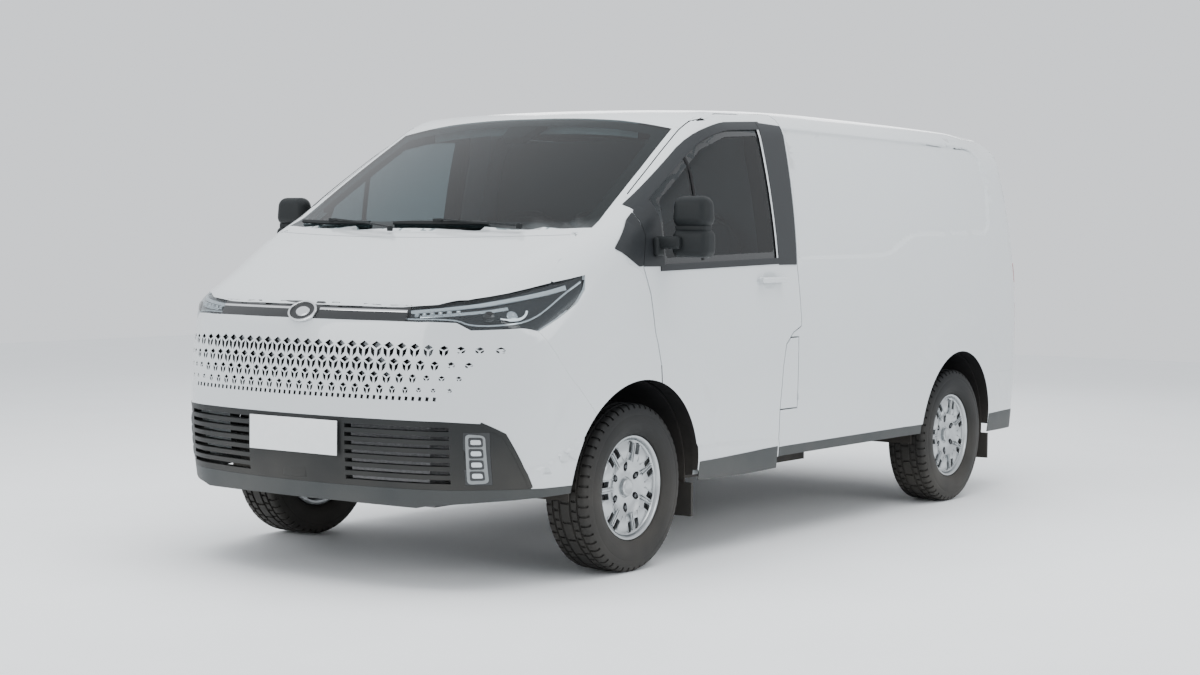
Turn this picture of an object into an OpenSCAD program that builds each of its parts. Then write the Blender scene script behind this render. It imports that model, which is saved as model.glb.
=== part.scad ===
/* [Body] */
// Overall length, bumper to bumper
body_length = 4998; // [4900:1:5100]
// Width of the body without its mirrors
body_width = 2024; // [1980:1:2060]
// Height of the roof above the ground
body_height = 1995; // [1950:1:2100]
// Height of the body's lower edge at the front lip
lip_bottom = 285; // [270:1:300]
// Thickness of the roof panel with its bows
roof_wall = 45; // [35:1:60]
// Thickness of the side walls
side_wall = 60; // [50:1:70]
// Thickness of outer panels that are fixed over the structure
skin_wall = 25; // [20:1:30]
// Gap round a moving panel
shut_gap = 6; // [5.5:0.1:7]
// Gap between two fixed panels
seam = 0.4; // [0.3:0.05:0.6]
// Clearance where one piece seats on another
joint_gap = 0.3; // [0.2:0.05:0.5]

/* [Wheels and axles] */
// Distance between the axles
wheelbase = 3000; // [2980:1:3020]
// Radius of the tyre
tyre_r = 350; // [340:1:352]
// Width of the tyre
tyre_w = 225; // [205:1:235]
// Radius of the rim's tyre seat
rim_r = 206; // [200:1:212]
// How far the tyre's outer face sits inside the body's side
wheel_inset = 23; // [20:1:40]
// Radius of the wheel arches
arch_r = 430; // [425:1:440]
// Height of the centre of the wheel arches
arch_z = 368; // [362:1:375]
// Radius of the wheel's centre bore
hub_bore_r = 35; // [30:0.5:40]
// Radius of the circle of wheel bolts
bolt_circle_r = 85; // [80:1:92]

/* [Front] */
// Height of the base of the windscreen
cowl_z = 1400; // [1380:1:1420]
// How far the windscreen's base is ahead of the front axle
cowl_ahead = 290; // [280:1:300]
// How far the windscreen's top is behind the front axle
header_behind = 600; // [580:1:620]
// Height of the bonnet's leading edge
bonnet_front_z = 1101; // [1090:1:1110]
// Height of the lower edge of the strip between the headlamps
strip_z = 1047; // [1040:1:1055]
// Half the width of the strip between the headlamps
strip_half = 505; // [480:1:530]
// Height of the top of the lower grille
grille_top_z = 668; // [660:1:675]
// Height of the bottom of the lower grille
grille_bottom_z = 398; // [390:1:405]

/* [Doors and openings] */
// Height of the waist line below the side windows
belt_z = 1287; // [1270:1:1300]
// How far the front edge of the front door is behind the front axle
door_front_behind = 38; // [30:1:45]
// How far the rear edge of the front door is behind the front axle
door_rear_behind = 1300; // [1280:1:1320]
// Height of the bottom of the doors
door_bottom_z = 330; // [326:1:335]
// Thickness of a front door
door_wall = 80; // [70:1:90]
// Thickness of a rear door
rear_door_wall = 60; // [50:1:70]
// Height of the rear doors' lower edge
rear_sill_z = 600; // [590:1:615]
// Thickness of the window glass
glass_t = 6; // [4:0.5:8]
// Radius of a hinge pin
pin_r = 2.7; // [2.5:0.05:2.7]

/* [Floor and cab] */
// Height of the load floor
floor_z = 560; // [550:1:580]
// Thickness of the floor
floor_t = 40; // [30:1:50]
// How far the bulkhead is behind the front axle
bulkhead_behind = 1430; // [1420:1:1440]
// Spacing of the lashing eyes along the van
lash_x = 1500; // [1400:10:1600]
// Spacing of the lashing eyes across the van
lash_y = 1200; // [1100:10:1250]
// Radius of the threaded lashing holes
lash_r = 5; // [4:0.5:6]

/* [Hidden] */
$fn = 48;

fx = wheelbase/2;            // front axle
rx = -wheelbase/2;           // rear axle
half = body_width/2;
nose = body_length/2 - 3;    // foremost point of the bumper
tail = body_length/2 - 3;    // rearmost point of the body, measured backwards
zb = lip_bottom;
wheel_y = half - wheel_inset - tyre_w/2;
pivot_y = wheel_y - 30;       // steering axis
spring_low = 2*tyre_r + 14;   // the spring sits above the turning tyre
strut_r = 60;
arch_front_x = fx - 22;
arch_rear_x = rx - 25;
far = 3000;

// ---- outer form of the body ------------------------------------------------

function soft_min(a, b, k) = let(h = min(1, max(0, 0.5 + 0.5*(b - a)/k))) b*(1 - h) + a*h - k*h*(1 - h);
function ease(t) = let(c = min(1, max(0, t))) c*c*(3 - 2*c);
function both(a, b, r) = min(max(a, b), -r) + norm([max(a + r, 0), max(b + r, 0)]);

cowl_x = fx + cowl_ahead;
header_x = fx - header_behind;
screen_rise = (body_height - 46 - cowl_z)/(cowl_x - header_x);

function half_width(x, z) = half - 1.1e-4*pow(max(800 - z, 0), 2) - 1.35e-4*pow(max(z - 900, 0), 2)
    - 1.2e-4*pow(max(x - fx + 200, 0), 2) - 4e-5*pow(max(rx + 300 - x, 0), 2);
function bonnet_at(x, y) = let(t = (x - cowl_x)/(nose - 40 - cowl_x)) x < fx ? 0 :
    cowl_z - (cowl_z - bonnet_front_z + 8)*(0.9*t + 0.1*t*abs(t)) - 6e-5*y*y;
function screen_at(x, y) = let(u = cowl_x - 2.06e-4*y*y - x, full = cowl_x - header_x)
    cowl_z + screen_rise*u + 5e-5*u*(full - u);
function roof_at(x, y) = let(t = x - fx + 1800)
    body_height - (t > 0 ? 2.6e-5 : 0.4e-5)*t*t - 2.5e-5*y*y;
function top_at(x, y) = max(bonnet_at(x, y), soft_min(screen_at(x, y), roof_at(x, y), 60));
function front_at(y, z) = nose - 2.4e-4*pow(z - 640, 2) - 2.16e-4*y*y;
function tail_at(y, z) = tail - 6e-5*pow(max(z - 1000, 0), 2) - 2.5e-5*y*y;

// Distance outside (+) or inside (-) the body's skin, close to exact near it.
function depth(x, y, z) =
    let(top = (z - top_at(x, y))*0.87,
        ends = both(both(top, x - front_at(y, z), 70), -x - tail_at(y, z), 90),
        corner = 100 + 180*ease((x - fx)/700) + 90*ease((rx - 200 - x)/600))
    both(ends, y - half_width(x, z), corner);

// Distance from c along d (in a cross-section at x) to the skin's inset.
function reach(x, c, d, inset, lo, hi, n) = n == 0 ? lo :
    let(m = (lo + hi)/2, y = c[0] + m*d[0], z = c[1] + m*d[1])
    (depth(x, y, z) < -inset && z > zb - inset) ? reach(x, c, d, inset, m, hi, n - 1)
                                              : reach(x, c, d, inset, lo, m, n - 1);

side_steps = [0, 0.1, 0.22, 0.36, 0.5, 0.64, 0.77, 0.87, 0.94, 0.98, 1.02];
top_steps = [0.05, 0.1, 0.18, 0.3, 0.45, 0.7, 1];

function ring(x, inset) =
    let(low = front_at(0, zb) - x > inset + 40,
        cz = low ? zb - inset : 640,
        peak = top_at(x, 0) - cz,
        turn = atan2(peak, half_width(x, cz)),
        angles = low ? concat([for (s = side_steps) turn*s], [for (s = top_steps) turn + (90 - turn)*s])
                     : [for (a = [-90:15:90]) a],
        pts = [for (a = angles) let(d = [cos(a), sin(a)], r = reach(x, [0, cz], d, inset, 0, 2600, 20))
                  [r*d[0], cz + r*d[1]]])
    concat([for (p = pts) [x, p[0], p[1]]], [for (p = pts) [x, -p[0], p[1]]]);

stations = concat(
    [for (b = [0.6, 9, 24, 50, 90, 150, 260, 480]) b - tail],
    [for (f = [-2500, -1700, -1100, -760, -590, -520, -420, -250, 0, 180, 290, 350]) fx + f],
    [for (b = [470, 380, 300, 230, 165, 110, 66, 36, 14, 0.4]) nose - b]);

module form(inset = 0) {
    k = (tail - inset)/tail;
    rings = [for (s = stations) ring(s*k, inset)];
    for (i = [0:len(rings) - 2]) hull() {
        pts = concat(rings[i], rings[i + 1]);
        polyhedron(pts, [[for (j = [0:len(pts) - 1]) j]]);
    }
}

// The body's skin between two depths.
module shell(t, from = 0) {
    difference() {
        form(from);
        form(t);
    }
}

// ---- outlines --------------------------------------------------------------

// Extrusion of an outline in X and Z across the van, and one in Y and Z along it.
module side_prism(y0 = 0, y1 = far) translate([0, y1, 0]) rotate([90, 0, 0]) linear_extrude(y1 - y0) children();
module end_prism(x0, x1) translate([x0, 0, 0]) rotate([90, 0, 90]) linear_extrude(x1 - x0) children();
module plan_prism(z0 = 0, z1 = far) translate([0, 0, z0]) linear_extrude(z1 - z0) children();
module rounded(r) offset(r) offset(delta = -r) children();
module mirrored() mirror([0, 1, 0]) children();
module both_sides() { children(); mirrored() children(); }

door_x = fx - door_front_behind;     // foremost point of the front door's edge
door_rear = fx - door_rear_behind;
window_top = body_height - 103;

module door_outline() rounded(12) polygon([
    [door_x, belt_z - 27], [door_x - 40, belt_z - 135], [door_x - 68, 972], [door_x - 104, 853],
    [door_x - 112, 760], [door_x - 112, door_bottom_z],
    [door_rear + 160, door_bottom_z], [door_rear + 170, 620], [door_rear + 150, 800], [door_rear + 125, 905],
    [door_rear + 60, 958], [door_rear - 14, 985], [door_rear + 8, belt_z - 26],
    [door_rear - 38, body_height - 60], [door_rear - 30, body_height - 42],
    [fx - 854, body_height - 66], [fx - 609, body_height - 119], [fx - 431, body_height - 214],
    [fx - 198, body_height - 365], [fx - 122, body_height - 430], [fx - 70, body_height - 510],
    [door_x - 30, belt_z + 98]]);

// Inner limit of the doors, seen from above: it leaves the windscreen's pillar beside it.
module door_plan(grow = 0) polygon([[-far, half - 209 - grow], [fx - 573, half - 209 - grow], [fx - 274, half - 175 - grow],
    [fx + 21, half - 147 - grow], [fx + 21, far], [-far, far]]);
module door_block(grow = 0) intersection() {
    side_prism(half - 400) offset(delta = grow) door_outline();
    plan_prism() door_plan(grow);
}

module window_outline() rounded(14) polygon([
    [fx + 139, belt_z + 53], [fx - 6, belt_z - 27], [door_rear + 185, belt_z + 3],
    [door_rear + 192, window_top], [fx - 780, window_top - 22], [fx - 562, window_top - 86],
    [fx - 89, window_top - 372]]);

module flap_outline() polygon([
    [door_rear + 170 - shut_gap, 608], [door_rear + 170 - shut_gap, 620], [door_rear + 150 - shut_gap, 800],
    [door_rear + 125 - shut_gap, 899], [door_rear + 80, 930], [door_rear + 14, 930],
    [door_rear + 14, 608]]);

module arch_outline(x) translate([x, arch_z]) circle(arch_r, $fn = 96);
module arches(grow = 0) both_sides() for (x = [arch_front_x, arch_rear_x])
    side_prism(half - 330) offset(delta = grow) { arch_outline(x); translate([x - arch_r, 0]) square([2*arch_r, arch_z]); }

// Bonnet's side edge from the nose up to the cowl, seen from the side.
bonnet_line = [[nose + 60, bonnet_front_z], [nose - 125, bonnet_front_z], [nose - 209, bonnet_front_z + 29],
    [nose - 376, bonnet_front_z + 61], [nose - 537, bonnet_front_z + 100], [fx + 405, cowl_z - 141],
    [fx + 304, cowl_z - 69], [fx + 203, cowl_z - 1]];
lamp_low = [[nose - 684, 1231], [nose - 661, 1172], [nose - 614, 1122], [nose - 516, 1064], [nose - 411, 1012],
    [nose - 353, 1026], [nose - 198, 1018], [nose - 167, strip_z], [nose + 60, strip_z]];
bumper_seam = [[nose - 411, 1012], [nose - 561, 834], [nose - 723, 665]];

module above_bonnet_line() polygon(concat(bonnet_line, [[fx + 203, cowl_z + 200], [nose + 60, cowl_z + 200]]));
module lamp_outline() polygon(concat(lamp_low, [for (i = [0:4]) bonnet_line[i]]));
module bumper_side() polygon(concat([[nose + 60, bonnet_front_z - 2], [nose - 300, bonnet_front_z - 2], [nose - 411, 1012]],
    [bumper_seam[1], bumper_seam[2], [nose - 723, 200], [nose + 60, 200]]));

function cowl_line(y, ahead) = cowl_x + ahead - 2.06e-4*y*y;
module bonnet_plan(grow = 0) polygon(concat(
    [for (y = [-900:100:900]) [cowl_line(y, 62) - grow, y]], [[nose + 60, 1100], [nose + 60, -1100]]));
module screen_plan() polygon(concat(
    [for (y = [-820:82:820]) [cowl_line(y, -5), y]],
    [[fx + 138, half - 163], [fx + 21, half - 181], [fx - 274, half - 209], [fx - 573, half - 245],
     [fx - 578, half - 520], [fx - 562, 0],
     [fx - 578, 520 - half], [fx - 573, 245 - half], [fx - 274, 209 - half], [fx + 21, 181 - half], [fx + 138, 163 - half]]));

// ---- body panels -----------------------------------------------------------

split_y = half - 215;   // joint between roof and sides
roof_front = fx - 590;
flange = 22;            // depth of a door's outer layer

module slide_outline(grow = 0) offset(delta = grow) rounded(30) polygon([
    [door_rear - 60, 470], [door_rear - 60, body_height - 110], [rx + 560, body_height - 110],
    [rx + 560, 800], [rx + 480, 640], [rx + 440, 470]]);

module side_region() difference() {
    intersection() {
        shell(side_wall);
        translate([-tail - 50, split_y + seam/2, zb + 35]) cube([tail + 50 + fx - 60, far, far]);
        side_prism() polygon([[-far, 0], [door_rear + 260, 0], [door_rear + 260, 1600], [roof_front, 1600],
            [roof_front, body_height + 50], [-far, body_height + 50]]);
    }
    arches();
    door_block(shut_gap);
    rear_hole();
    translate([-tail - 60, -far, 0]) cube([rx - arch_r - 40 + tail + 60, 2*far, 662]);
    side_prism() polygon([[fx - 60, 0], [fx - 60, 430 + seam], [rx + 300, 437 + seam], [rx + 300, 0]]);
}

module side_left() color("white") render() difference() {
    union() {
        difference() { side_region(); side_prism() offset(delta = shut_gap) flap_outline(); }
        rear_hinge_fixed();
        flap_pin();
    }
    tail_lamp_cut(seam);
}

module side_right() color("white") render() difference() {
    mirrored() { side_region(); rear_hinge_fixed(); }
    mirrored() side_prism() slide_outline(shut_gap - 1);
    tail_lamp_cut(seam);
}

module roof() color("white") render() difference() {
    intersection() {
        shell(roof_wall);
        translate([-tail + 24, -split_y + seam/2, 1500]) cube([tail - 24 + roof_front, 2*split_y - seam, 1000]);
    }
    rear_hole();
}

module front_frame() color("white") render() {
    difference() {
        intersection() {
            shell(side_wall);
            side_prism(-far) polygon([[roof_front + seam, body_height + 60], [roof_front + seam, 1600], [fx - 60, 1350],
                [door_x - 112, 760], [door_x - 112, 640], [fx + 60, 640], [fx + 60, 1000], [fx + 203, cowl_z - 230],
                [cowl_x + 56, cowl_z - 70], [cowl_x + 56, body_height + 60]]);
        }
        plan_prism(cowl_z - 5) screen_plan();
        both_sides() door_block(shut_gap);
        plan_prism(500) bonnet_plan(shut_gap);
        both_sides() wing_region(seam);
        both_sides() bonnet_ear(17, 6);
    }
    // firewall, scuttle tray and hinge pillars
    difference() {
        translate([fx - 80, 190 - half, floor_z - floor_t]) cube([20, body_width - 380, cowl_z - 70 - floor_z + floor_t]);
        for (m = [0, 1]) mirror([0, m, 0]) translate([arch_front_x, far, arch_z]) rotate([90, 0, 0]) cylinder(r = arch_r + 1, h = far - tub_y);
    }
    translate([fx - 80, 190 - half, cowl_z - 90]) cube([300, body_width - 380, 20]);
    both_sides() {
        translate([fx - 30, half - 190, arch_z + arch_r + 8]) cube([90, 90, cowl_z - arch_z - arch_r - 68]);
        translate([fx - 80, half - 190 - 1, arch_z + arch_r + 8]) cube([60, 20, cowl_z - arch_z - arch_r - 78]);
    }
    for (m = [0, 1]) mirror([0, m, 0]) bonnet_pin();
}

bonnet_pin_x = fx + 206;
bonnet_pin_z = cowl_z - 4;
ear_y = half - 212;      // inner face of the bonnet's hinge ears
module bonnet_pin() {
    translate([bonnet_pin_x, ear_y - 9, bonnet_pin_z]) rotate([-90, 0, 0]) cylinder(r = pin_r, h = 30, $fn = 32);
    translate([bonnet_pin_x - 16, ear_y - 9, bonnet_pin_z - 14]) cube([18, 3, 17]);
    translate([bonnet_pin_x - 16, ear_y + 18, bonnet_pin_z - 14]) cube([18, 3, 17]);
}
module bonnet_ear(r, grow) translate([bonnet_pin_x, ear_y - grow, bonnet_pin_z]) rotate([-90, 0, 0]) cylinder(r = r, h = 12 + 2*grow, $fn = 32);

module sail_outline() polygon([[fx + 139, belt_z + 53], [fx - 6, belt_z - 27], [door_x + shut_gap + 1, belt_z - 25],
    [door_x - 24 + shut_gap, belt_z + 98], [fx - 55, body_height - 498]]);

// Wing: from the door's edge to the bumper's seam, below the bonnet line and the cowl.
module wing_region(grow = 0) side_prism(half - 185) offset(delta = grow) polygon([
    [door_x + shut_gap, belt_z - 27 - 30], [door_x + shut_gap - 40, belt_z - 135], [door_x + shut_gap - 68, 972],
    [door_x + shut_gap - 104, 853], [door_x + shut_gap - 112, 760], [door_x + shut_gap - 112, 500],
    [nose - 723 + 60, 500], [nose - 723, 665], [nose - 561, 834], [nose - 411, 1012], [nose - 516, 1064],
    [nose - 614, 1122], [nose - 661, 1172], [nose - 684, 1231], [nose - 537, bonnet_front_z + 100],
    [fx + 405, cowl_z - 141], [fx + 304, cowl_z - 69], [fx + 203, cowl_z - 1], [fx + 110, cowl_z - 20],
    [fx + 60, belt_z - 10], [fx - 6, belt_z - 34]]);

module wings() color("white") render() difference() {
    intersection() {
        shell(skin_wall);
        both_sides() wing_region(-seam/2);
    }
    both_sides() bonnet_ear(13, 6);
    arches();
    both_sides() side_prism(400) offset(delta = shut_gap) above_bonnet_line();
    both_sides() door_block(shut_gap);
}

module bonnet() color("white") render() difference() {
    union() {
        intersection() {
            shell(skin_wall + 5);
            side_prism(-far) above_bonnet_line();
            plan_prism(500) bonnet_plan();
        }
        both_sides() {
            bonnet_ear(6, 0);
            translate([bonnet_pin_x, ear_y, bonnet_pin_z - 12]) cube([28, 12, 10]);
        }
    }
    both_sides() bonnet_ear(pin_r + joint_gap, 10);
}

module front_bumper() color("white") render() difference() {
    intersection() {
        shell(skin_wall + 5);
        side_prism(-far) offset(delta = -seam) bumper_side();
    }
    side_prism(-far) offset(delta = shut_gap) above_bonnet_line();
    both_sides() side_prism(strip_half - seam) offset(delta = seam) lamp_outline();
    translate([nose - 400, -strip_half, strip_z]) cube([600, 2*strip_half, 400]);
    arches();
    grille_region(seam);
    translate([0, -far, 0]) cube([far, 2*far, grille_bottom_z + seam]);
}

module grille_region(grow = 0) side_prism(-far) offset(delta = grow) polygon([
    [nose + 60, grille_bottom_z], [nose + 60, grille_top_z], [nose - 111, grille_top_z - 3], [nose - 213, grille_top_z - 11],
    [nose - 281, grille_top_z - 54], [nose - 338, grille_top_z - 162], [nose - 388, grille_bottom_z]]);

module grille_strip() color("black") render() intersection() {
    shell(skin_wall);
    translate([nose - 400, -strip_half + seam, strip_z + seam]) cube([600, 2*strip_half - 2*seam, bonnet_front_z - shut_gap - strip_z - seam]);
}

module lower_grille() color("black") render() difference() {
    intersection() {
        shell(skin_wall + 15);
        grille_region(-seam);
    }
    for (i = [0:6], y = [-700, 262]) translate([nose - 200, y, grille_bottom_z + 24 + i*34]) cube([400, 438, 16]);
    fog_region(seam);
}

module fog_region(grow = 0) both_sides() translate([nose - 330, 745 - grow, 418 - grow]) cube([200, 75 + 2*grow, 205 + 2*grow]);
module fog_lamps() color("silver") render() intersection() { shell(skin_wall); fog_region(); }

module front_lip() color("dimgray") render() difference() {
    intersection() {
        shell(skin_wall + 30);
        side_prism(-far) polygon([[nose - 723, zb], [nose - 723, grille_bottom_z - seam], [nose + 60, grille_bottom_z - seam],
            [nose + 60, zb + 55], [nose - 200, zb + 30], [nose - 500, zb]]);
    }
    arches();
}

module headlamps() color("silver") render() difference() {
    intersection() {
        shell(90);
        both_sides() side_prism(strip_half + 1) offset(delta = -seam) lamp_outline();
    }
    both_sides() side_prism(400) offset(delta = shut_gap) above_bonnet_line();
}

module windscreen() color("lightblue") render() intersection() {
    shell(glass_t);
    plan_prism(cowl_z) offset(delta = -seam) screen_plan();
}

// Wipers: a post on the scuttle, an arm and a blade that follow the glass.
wiper_y = [560, -90];
wiper_seat = [12.2, 5.4];   // how far each post stands off the scuttle's line
wiper_arm = 435;
blade = 500;
module dot(x, y, lift, r) translate([x, y, top_at(x, y) + lift]) cube(2*r, center = true);
module wipers() color("black") for (w = [0, 1]) {
    y = wiper_y[w];
    x = cowl_line(y, 24);
    m = y - wiper_arm;
    translate([x, y, top_at(x, y) + wiper_seat[w]]) cylinder(r = 13, h = 18);
    hull() { dot(x, y, 26, 7); dot(cowl_line(m, -36), m, 38, 6); }
    hull() { dot(cowl_line(m, -36), m, 38, 6); dot(cowl_line(m, -40), m, 28, 5); }
    for (i = [0:5]) hull() for (k = [i, i + 1]) let(t = m + (k/6 - 0.5)*blade) dot(cowl_line(t, -40), t, 26, 5);
}

module plate(h) translate([0, -240, 0]) cube([2.9, 480, h]);
module front_plate() color("white") translate([nose + 0.1, 0, 512]) plate(140);
module rear_plate() color("white") translate([-tail - 3, 280, 760]) plate(110);

module pin(x, y, z0, z1, r = pin_r) translate([x, y, z0]) cylinder(r = r, h = z1 - z0, $fn = 32);

module front_door() color("white") render() difference() {
    union() {
        intersection() { shell(flange); door_block(); }
        difference() {
            intersection() { shell(door_wall, flange - 1); door_block(-24); }
            arches(shut_gap);
        }
    }
    arches();
    side_prism(half - 400) offset(delta = -28) window_in_door();
    difference() {
        side_prism(half - 400) window_in_door();
        form(glass_t + 8);
    }
}

sail_x = fx - 168;     // rear edge of the mirror's sail in the door
module window_in_door() intersection() {
    window_outline();
    offset(delta = -30) door_outline();
    polygon([[-far, 0], [sail_x, 0], [sail_x + 30, 3000], [-far, 3000]]);
}

module front_door_left() front_door();
module front_door_right() mirrored() front_door();

module door_glass() color("lightblue") render() intersection() {
    shell(glass_t + 7.7, 7);
    side_prism(half - 400) offset(delta = -seam) window_in_door();
}
module door_glass_left() door_glass();
module door_glass_right() mirrored() door_glass();

mirror_x = fx - 191;
arm_y = half_width(sail_x + 4, belt_z + 50) + 0.6;
module mirror_head() color("black") {
    hull() for (z = [belt_z + 39, belt_z + 243], y = [half + 90, half + 186], x = [-14, 14]) translate([mirror_x + x, y, z]) sphere(30, $fn = 24);
    translate([sail_x + 4, arm_y, belt_z + 50]) cube([60, half + 130 - arm_y, 55]);
    translate([mirror_x - 14, half + 80, belt_z + 50]) cube([110, 50, 55]);
}
module mirror_left() mirror_head();
module mirror_right() mirrored() mirror_head();

module sliding_door() color("white") render() mirrored() union() {
    intersection() { shell(flange); side_prism(half - 400) slide_outline(-seam); }
    intersection() { shell(side_wall - 5, flange - 1); side_prism(half - 400) slide_outline(shut_gap - 1 - seam); }
}

// Rear doors: the left one and its mirror image.
rear_pin_x = -tail + 34;       // hinge axis, outside the skin
rear_pin_y = half - 150 - shut_gap/2;
rear_hinges = [700, 1100];     // lower ends of the hinges
module rear_outline(shrink = 0) offset(delta = -shrink) rounded(40) polygon([[-half + 150, rear_sill_z], [half - 150, rear_sill_z],
    [half - 150, 1200], [half - 165, 1500], [half - 205, body_height - 105], [205 - half, body_height - 105], [165 - half, 1500], [150 - half, 1200]]);
module rear_hole() end_prism(-tail - 100, -tail + 260) rear_outline();

module rear_hinge_fixed() for (z = rear_hinges) {
    pin(rear_pin_x, rear_pin_y, z, z + 90, 4);
    for (k = [0, 66]) {
        pin(rear_pin_x, rear_pin_y, z + k, z + k + 24, 7);
        translate([rear_pin_x - 3, rear_pin_y, z + k]) cube([30, 9, 24]);
    }
}
module rear_door() color("white") render() difference() {
    union() {
        intersection() {
            shell(rear_door_wall);
            translate([-tail - 50, shut_gap/2, 0]) cube([320, far, far]);
            end_prism(-tail - 100, -tail + 260) rear_outline(shut_gap);
        }
        for (z = rear_hinges) {
            pin(rear_pin_x, rear_pin_y, z + 24.5, z + 65.5, 7);
            translate([rear_pin_x - 3, rear_pin_y - 46, z + 24.5]) cube([26, 46, 41]);
        }
    }
    for (z = rear_hinges) {
        pin(rear_pin_x, rear_pin_y, z - 1, z + 91, 4.3);
        for (k = [-1, 65.5]) translate([rear_pin_x - 20, rear_pin_y - 4, z + k]) cube([60, 10, 25.5]);
    }
}
module rear_door_left() rear_door();
module rear_door_right() mirrored() rear_door();

flap_pin_x = door_rear + 14 - shut_gap/2;
module flap_pin() for (z = [640, 860]) {
    pin(flap_pin_x, half + 0.5, z, z + 30);
    translate([flap_pin_x - 12, half - 12, z]) cube([12, 13, 30]);
}
module rear_bumper() color("white") render() difference() {
    intersection() {
        shell(50);
        translate([-tail - 50, -far, 326]) cube([rx - arch_r - 40 + tail + 50, 2*far, 662 - seam - 326]);
    }
    arches();
    rear_hole_low();
}
module rear_hole_low() translate([-tail - 100, -half + 150, rear_sill_z - 8]) cube([360, body_width - 300, 200]);

module tail_lamp_cut(grow = 0) both_sides() translate([-tail - 20, half - 143 - grow, 800 - grow]) cube([170, 90 + 2*grow, 480 + 2*grow]);
module tail_lamps() color("firebrick") render() intersection() { shell(40); tail_lamp_cut(); }

module filler_flap() color("white") render() intersection() { shell(14); side_prism(half - 400) flap_outline(); }

module sill_trims() color("dimgray") render() difference() {
    intersection() {
        shell(40);
        both_sides() side_prism(half - 200) polygon([[fx - 438, 315], [fx - 1100, 326], [rx + arch_r - 20, 312],
            [rx + arch_r - 20, 435], [rx + 300, 437 - seam], [fx - 60, 430], [fx - 438, 398]]);
    }
    arches();
    both_sides() door_block(shut_gap);
}

liner_bottom = 330;
module mud_flaps() color("black") both_sides() for (p = [[arch_front_x, 185], [arch_rear_x, 192]])
    translate([p[0] - arch_r + 3, wheel_y - tyre_w/2 + 10, p[1]]) cube([14, tyre_w - 20, liner_bottom - p[1]]);

module arch_liners() color("black") both_sides() for (x = [arch_front_x, arch_rear_x]) difference() {
    translate([x, half - 75, arch_z]) rotate([90, 0, 0]) difference() {
        cylinder(r = arch_r - 1, h = 320, $fn = 96);
        translate([0, 0, -1]) cylinder(r = arch_r - 9, h = 322, $fn = 96);
    }
    translate([x - 500, 0, -far]) cube([1000, far, far + liner_bottom]);
    translate([fx, pivot_y - 150, 500]) cylinder(r = strut_r + seam, h = 400);
}

// ---- structure, cab and running gear ----------------------------------------

rail_y = 445;        // middle of a chassis rail
rail_w = 90;
hitch_x = 120;       // spacing of the towbar's holes along a rail
hitch_r = 6.5;
tub_y = half - 400;  // inner face of a wheel tub

module floor() color("gray") difference() {
    union() {
        translate([0, 0, floor_z - floor_t]) linear_extrude(floor_t) polygon([
            [-tail + 100, half - 180], [rx - 400, half - 110], [fx - 450, half - 110], [fx - 450, half - 402], [fx - 80 - seam, half - 402],
            [fx - 80 - seam, 402 - half], [fx - 450, 402 - half], [fx - 450, 110 - half], [rx - 400, 110 - half], [-tail + 100, 180 - half]]);
        both_sides() translate([-tail + 120, rail_y - rail_w/2, floor_z - floor_t - rail_w]) cube([tail - 120 + fx - 450, rail_w, rail_w]);
    }
    both_sides() translate([arch_rear_x, far, arch_z]) rotate([90, 0, 0]) cylinder(r = arch_r + 1, h = far - tub_y);
    for (x = [-lash_x/2, lash_x/2], y = [-lash_y/2, lash_y/2]) translate([x, y, floor_z - floor_t - 1]) cylinder(r = lash_r, h = floor_t + 2);
    both_sides() for (x = [0, hitch_x]) translate([-tail + 190 + x, rail_y, floor_z - floor_t - rail_w - 1]) cylinder(r = hitch_r, h = 61);
}

module bulkhead() color("gray") end_prism(fx - bulkhead_behind, fx - bulkhead_behind + 20) polygon([
    [half - 150, floor_z], [half - 150, 1600], [half - 197, body_height - 195], [half - 252, body_height - 130],
    [252 - half, body_height - 130], [197 - half, body_height - 195], [150 - half, 1600], [150 - half, floor_z]]);

dash_x = fx - 300;
module dashboard() color("dimgray") translate([dash_x, -half + 195, 930]) cube([fx - 80 - dash_x, body_width - 390, 300]);

wheel_x = dash_x - 75; // middle of the steering wheel
wheel_z = 1150;
wheel_tilt = 62;
driver_y = 430;
column_r = 38;
column = (dash_x - joint_gap - wheel_x - column_r*cos(wheel_tilt))/sin(wheel_tilt);
module steering_wheel() color("black") translate([wheel_x, driver_y, wheel_z]) rotate([0, -wheel_tilt, 0]) {
    rotate_extrude() translate([185, 0]) circle(15);
    translate([-20, -178, -6]) cube([40, 356, 12]);
    translate([0, 0, -column]) cylinder(r = column_r, h = column + 6);
}

module seat(y, w) translate([fx - 1330, y - w/2, floor_z]) {
    translate([130, 20, 0]) cube([420, w - 40, 250]);
    translate([120, 0, 250]) cube([490, w, 130]);
    translate([60, 0, 250]) cube([70, w, 150]);
    translate([60, 0, 380]) rotate([0, -12, 0]) cube([120, w, 560]);
}
module seats() color("dimgray") { seat(driver_y, 500); seat(-380, 860); }

module battery_pack() color("dimgray") translate([rx + 560, -rail_y + rail_w/2 + 5, 230]) cube([1800, 2*rail_y - rail_w - 10, floor_z - floor_t - 230]);

ball_r = 20;

module drive_unit() color("dimgray") {
    translate([fx - 40, -300, 350]) cube([540, 600, 460]);
    translate([fx - 160, -360, 270]) cube([700, 80, 80]);
    translate([fx - 160, 280, 270]) cube([700, 80, 80]);
    translate([fx - 160, -360, 350]) cube([100, 720, 60]);
    translate([fx - 160, -360, 410]) cube([70, 720, floor_z - floor_t - 410]);
}

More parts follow.
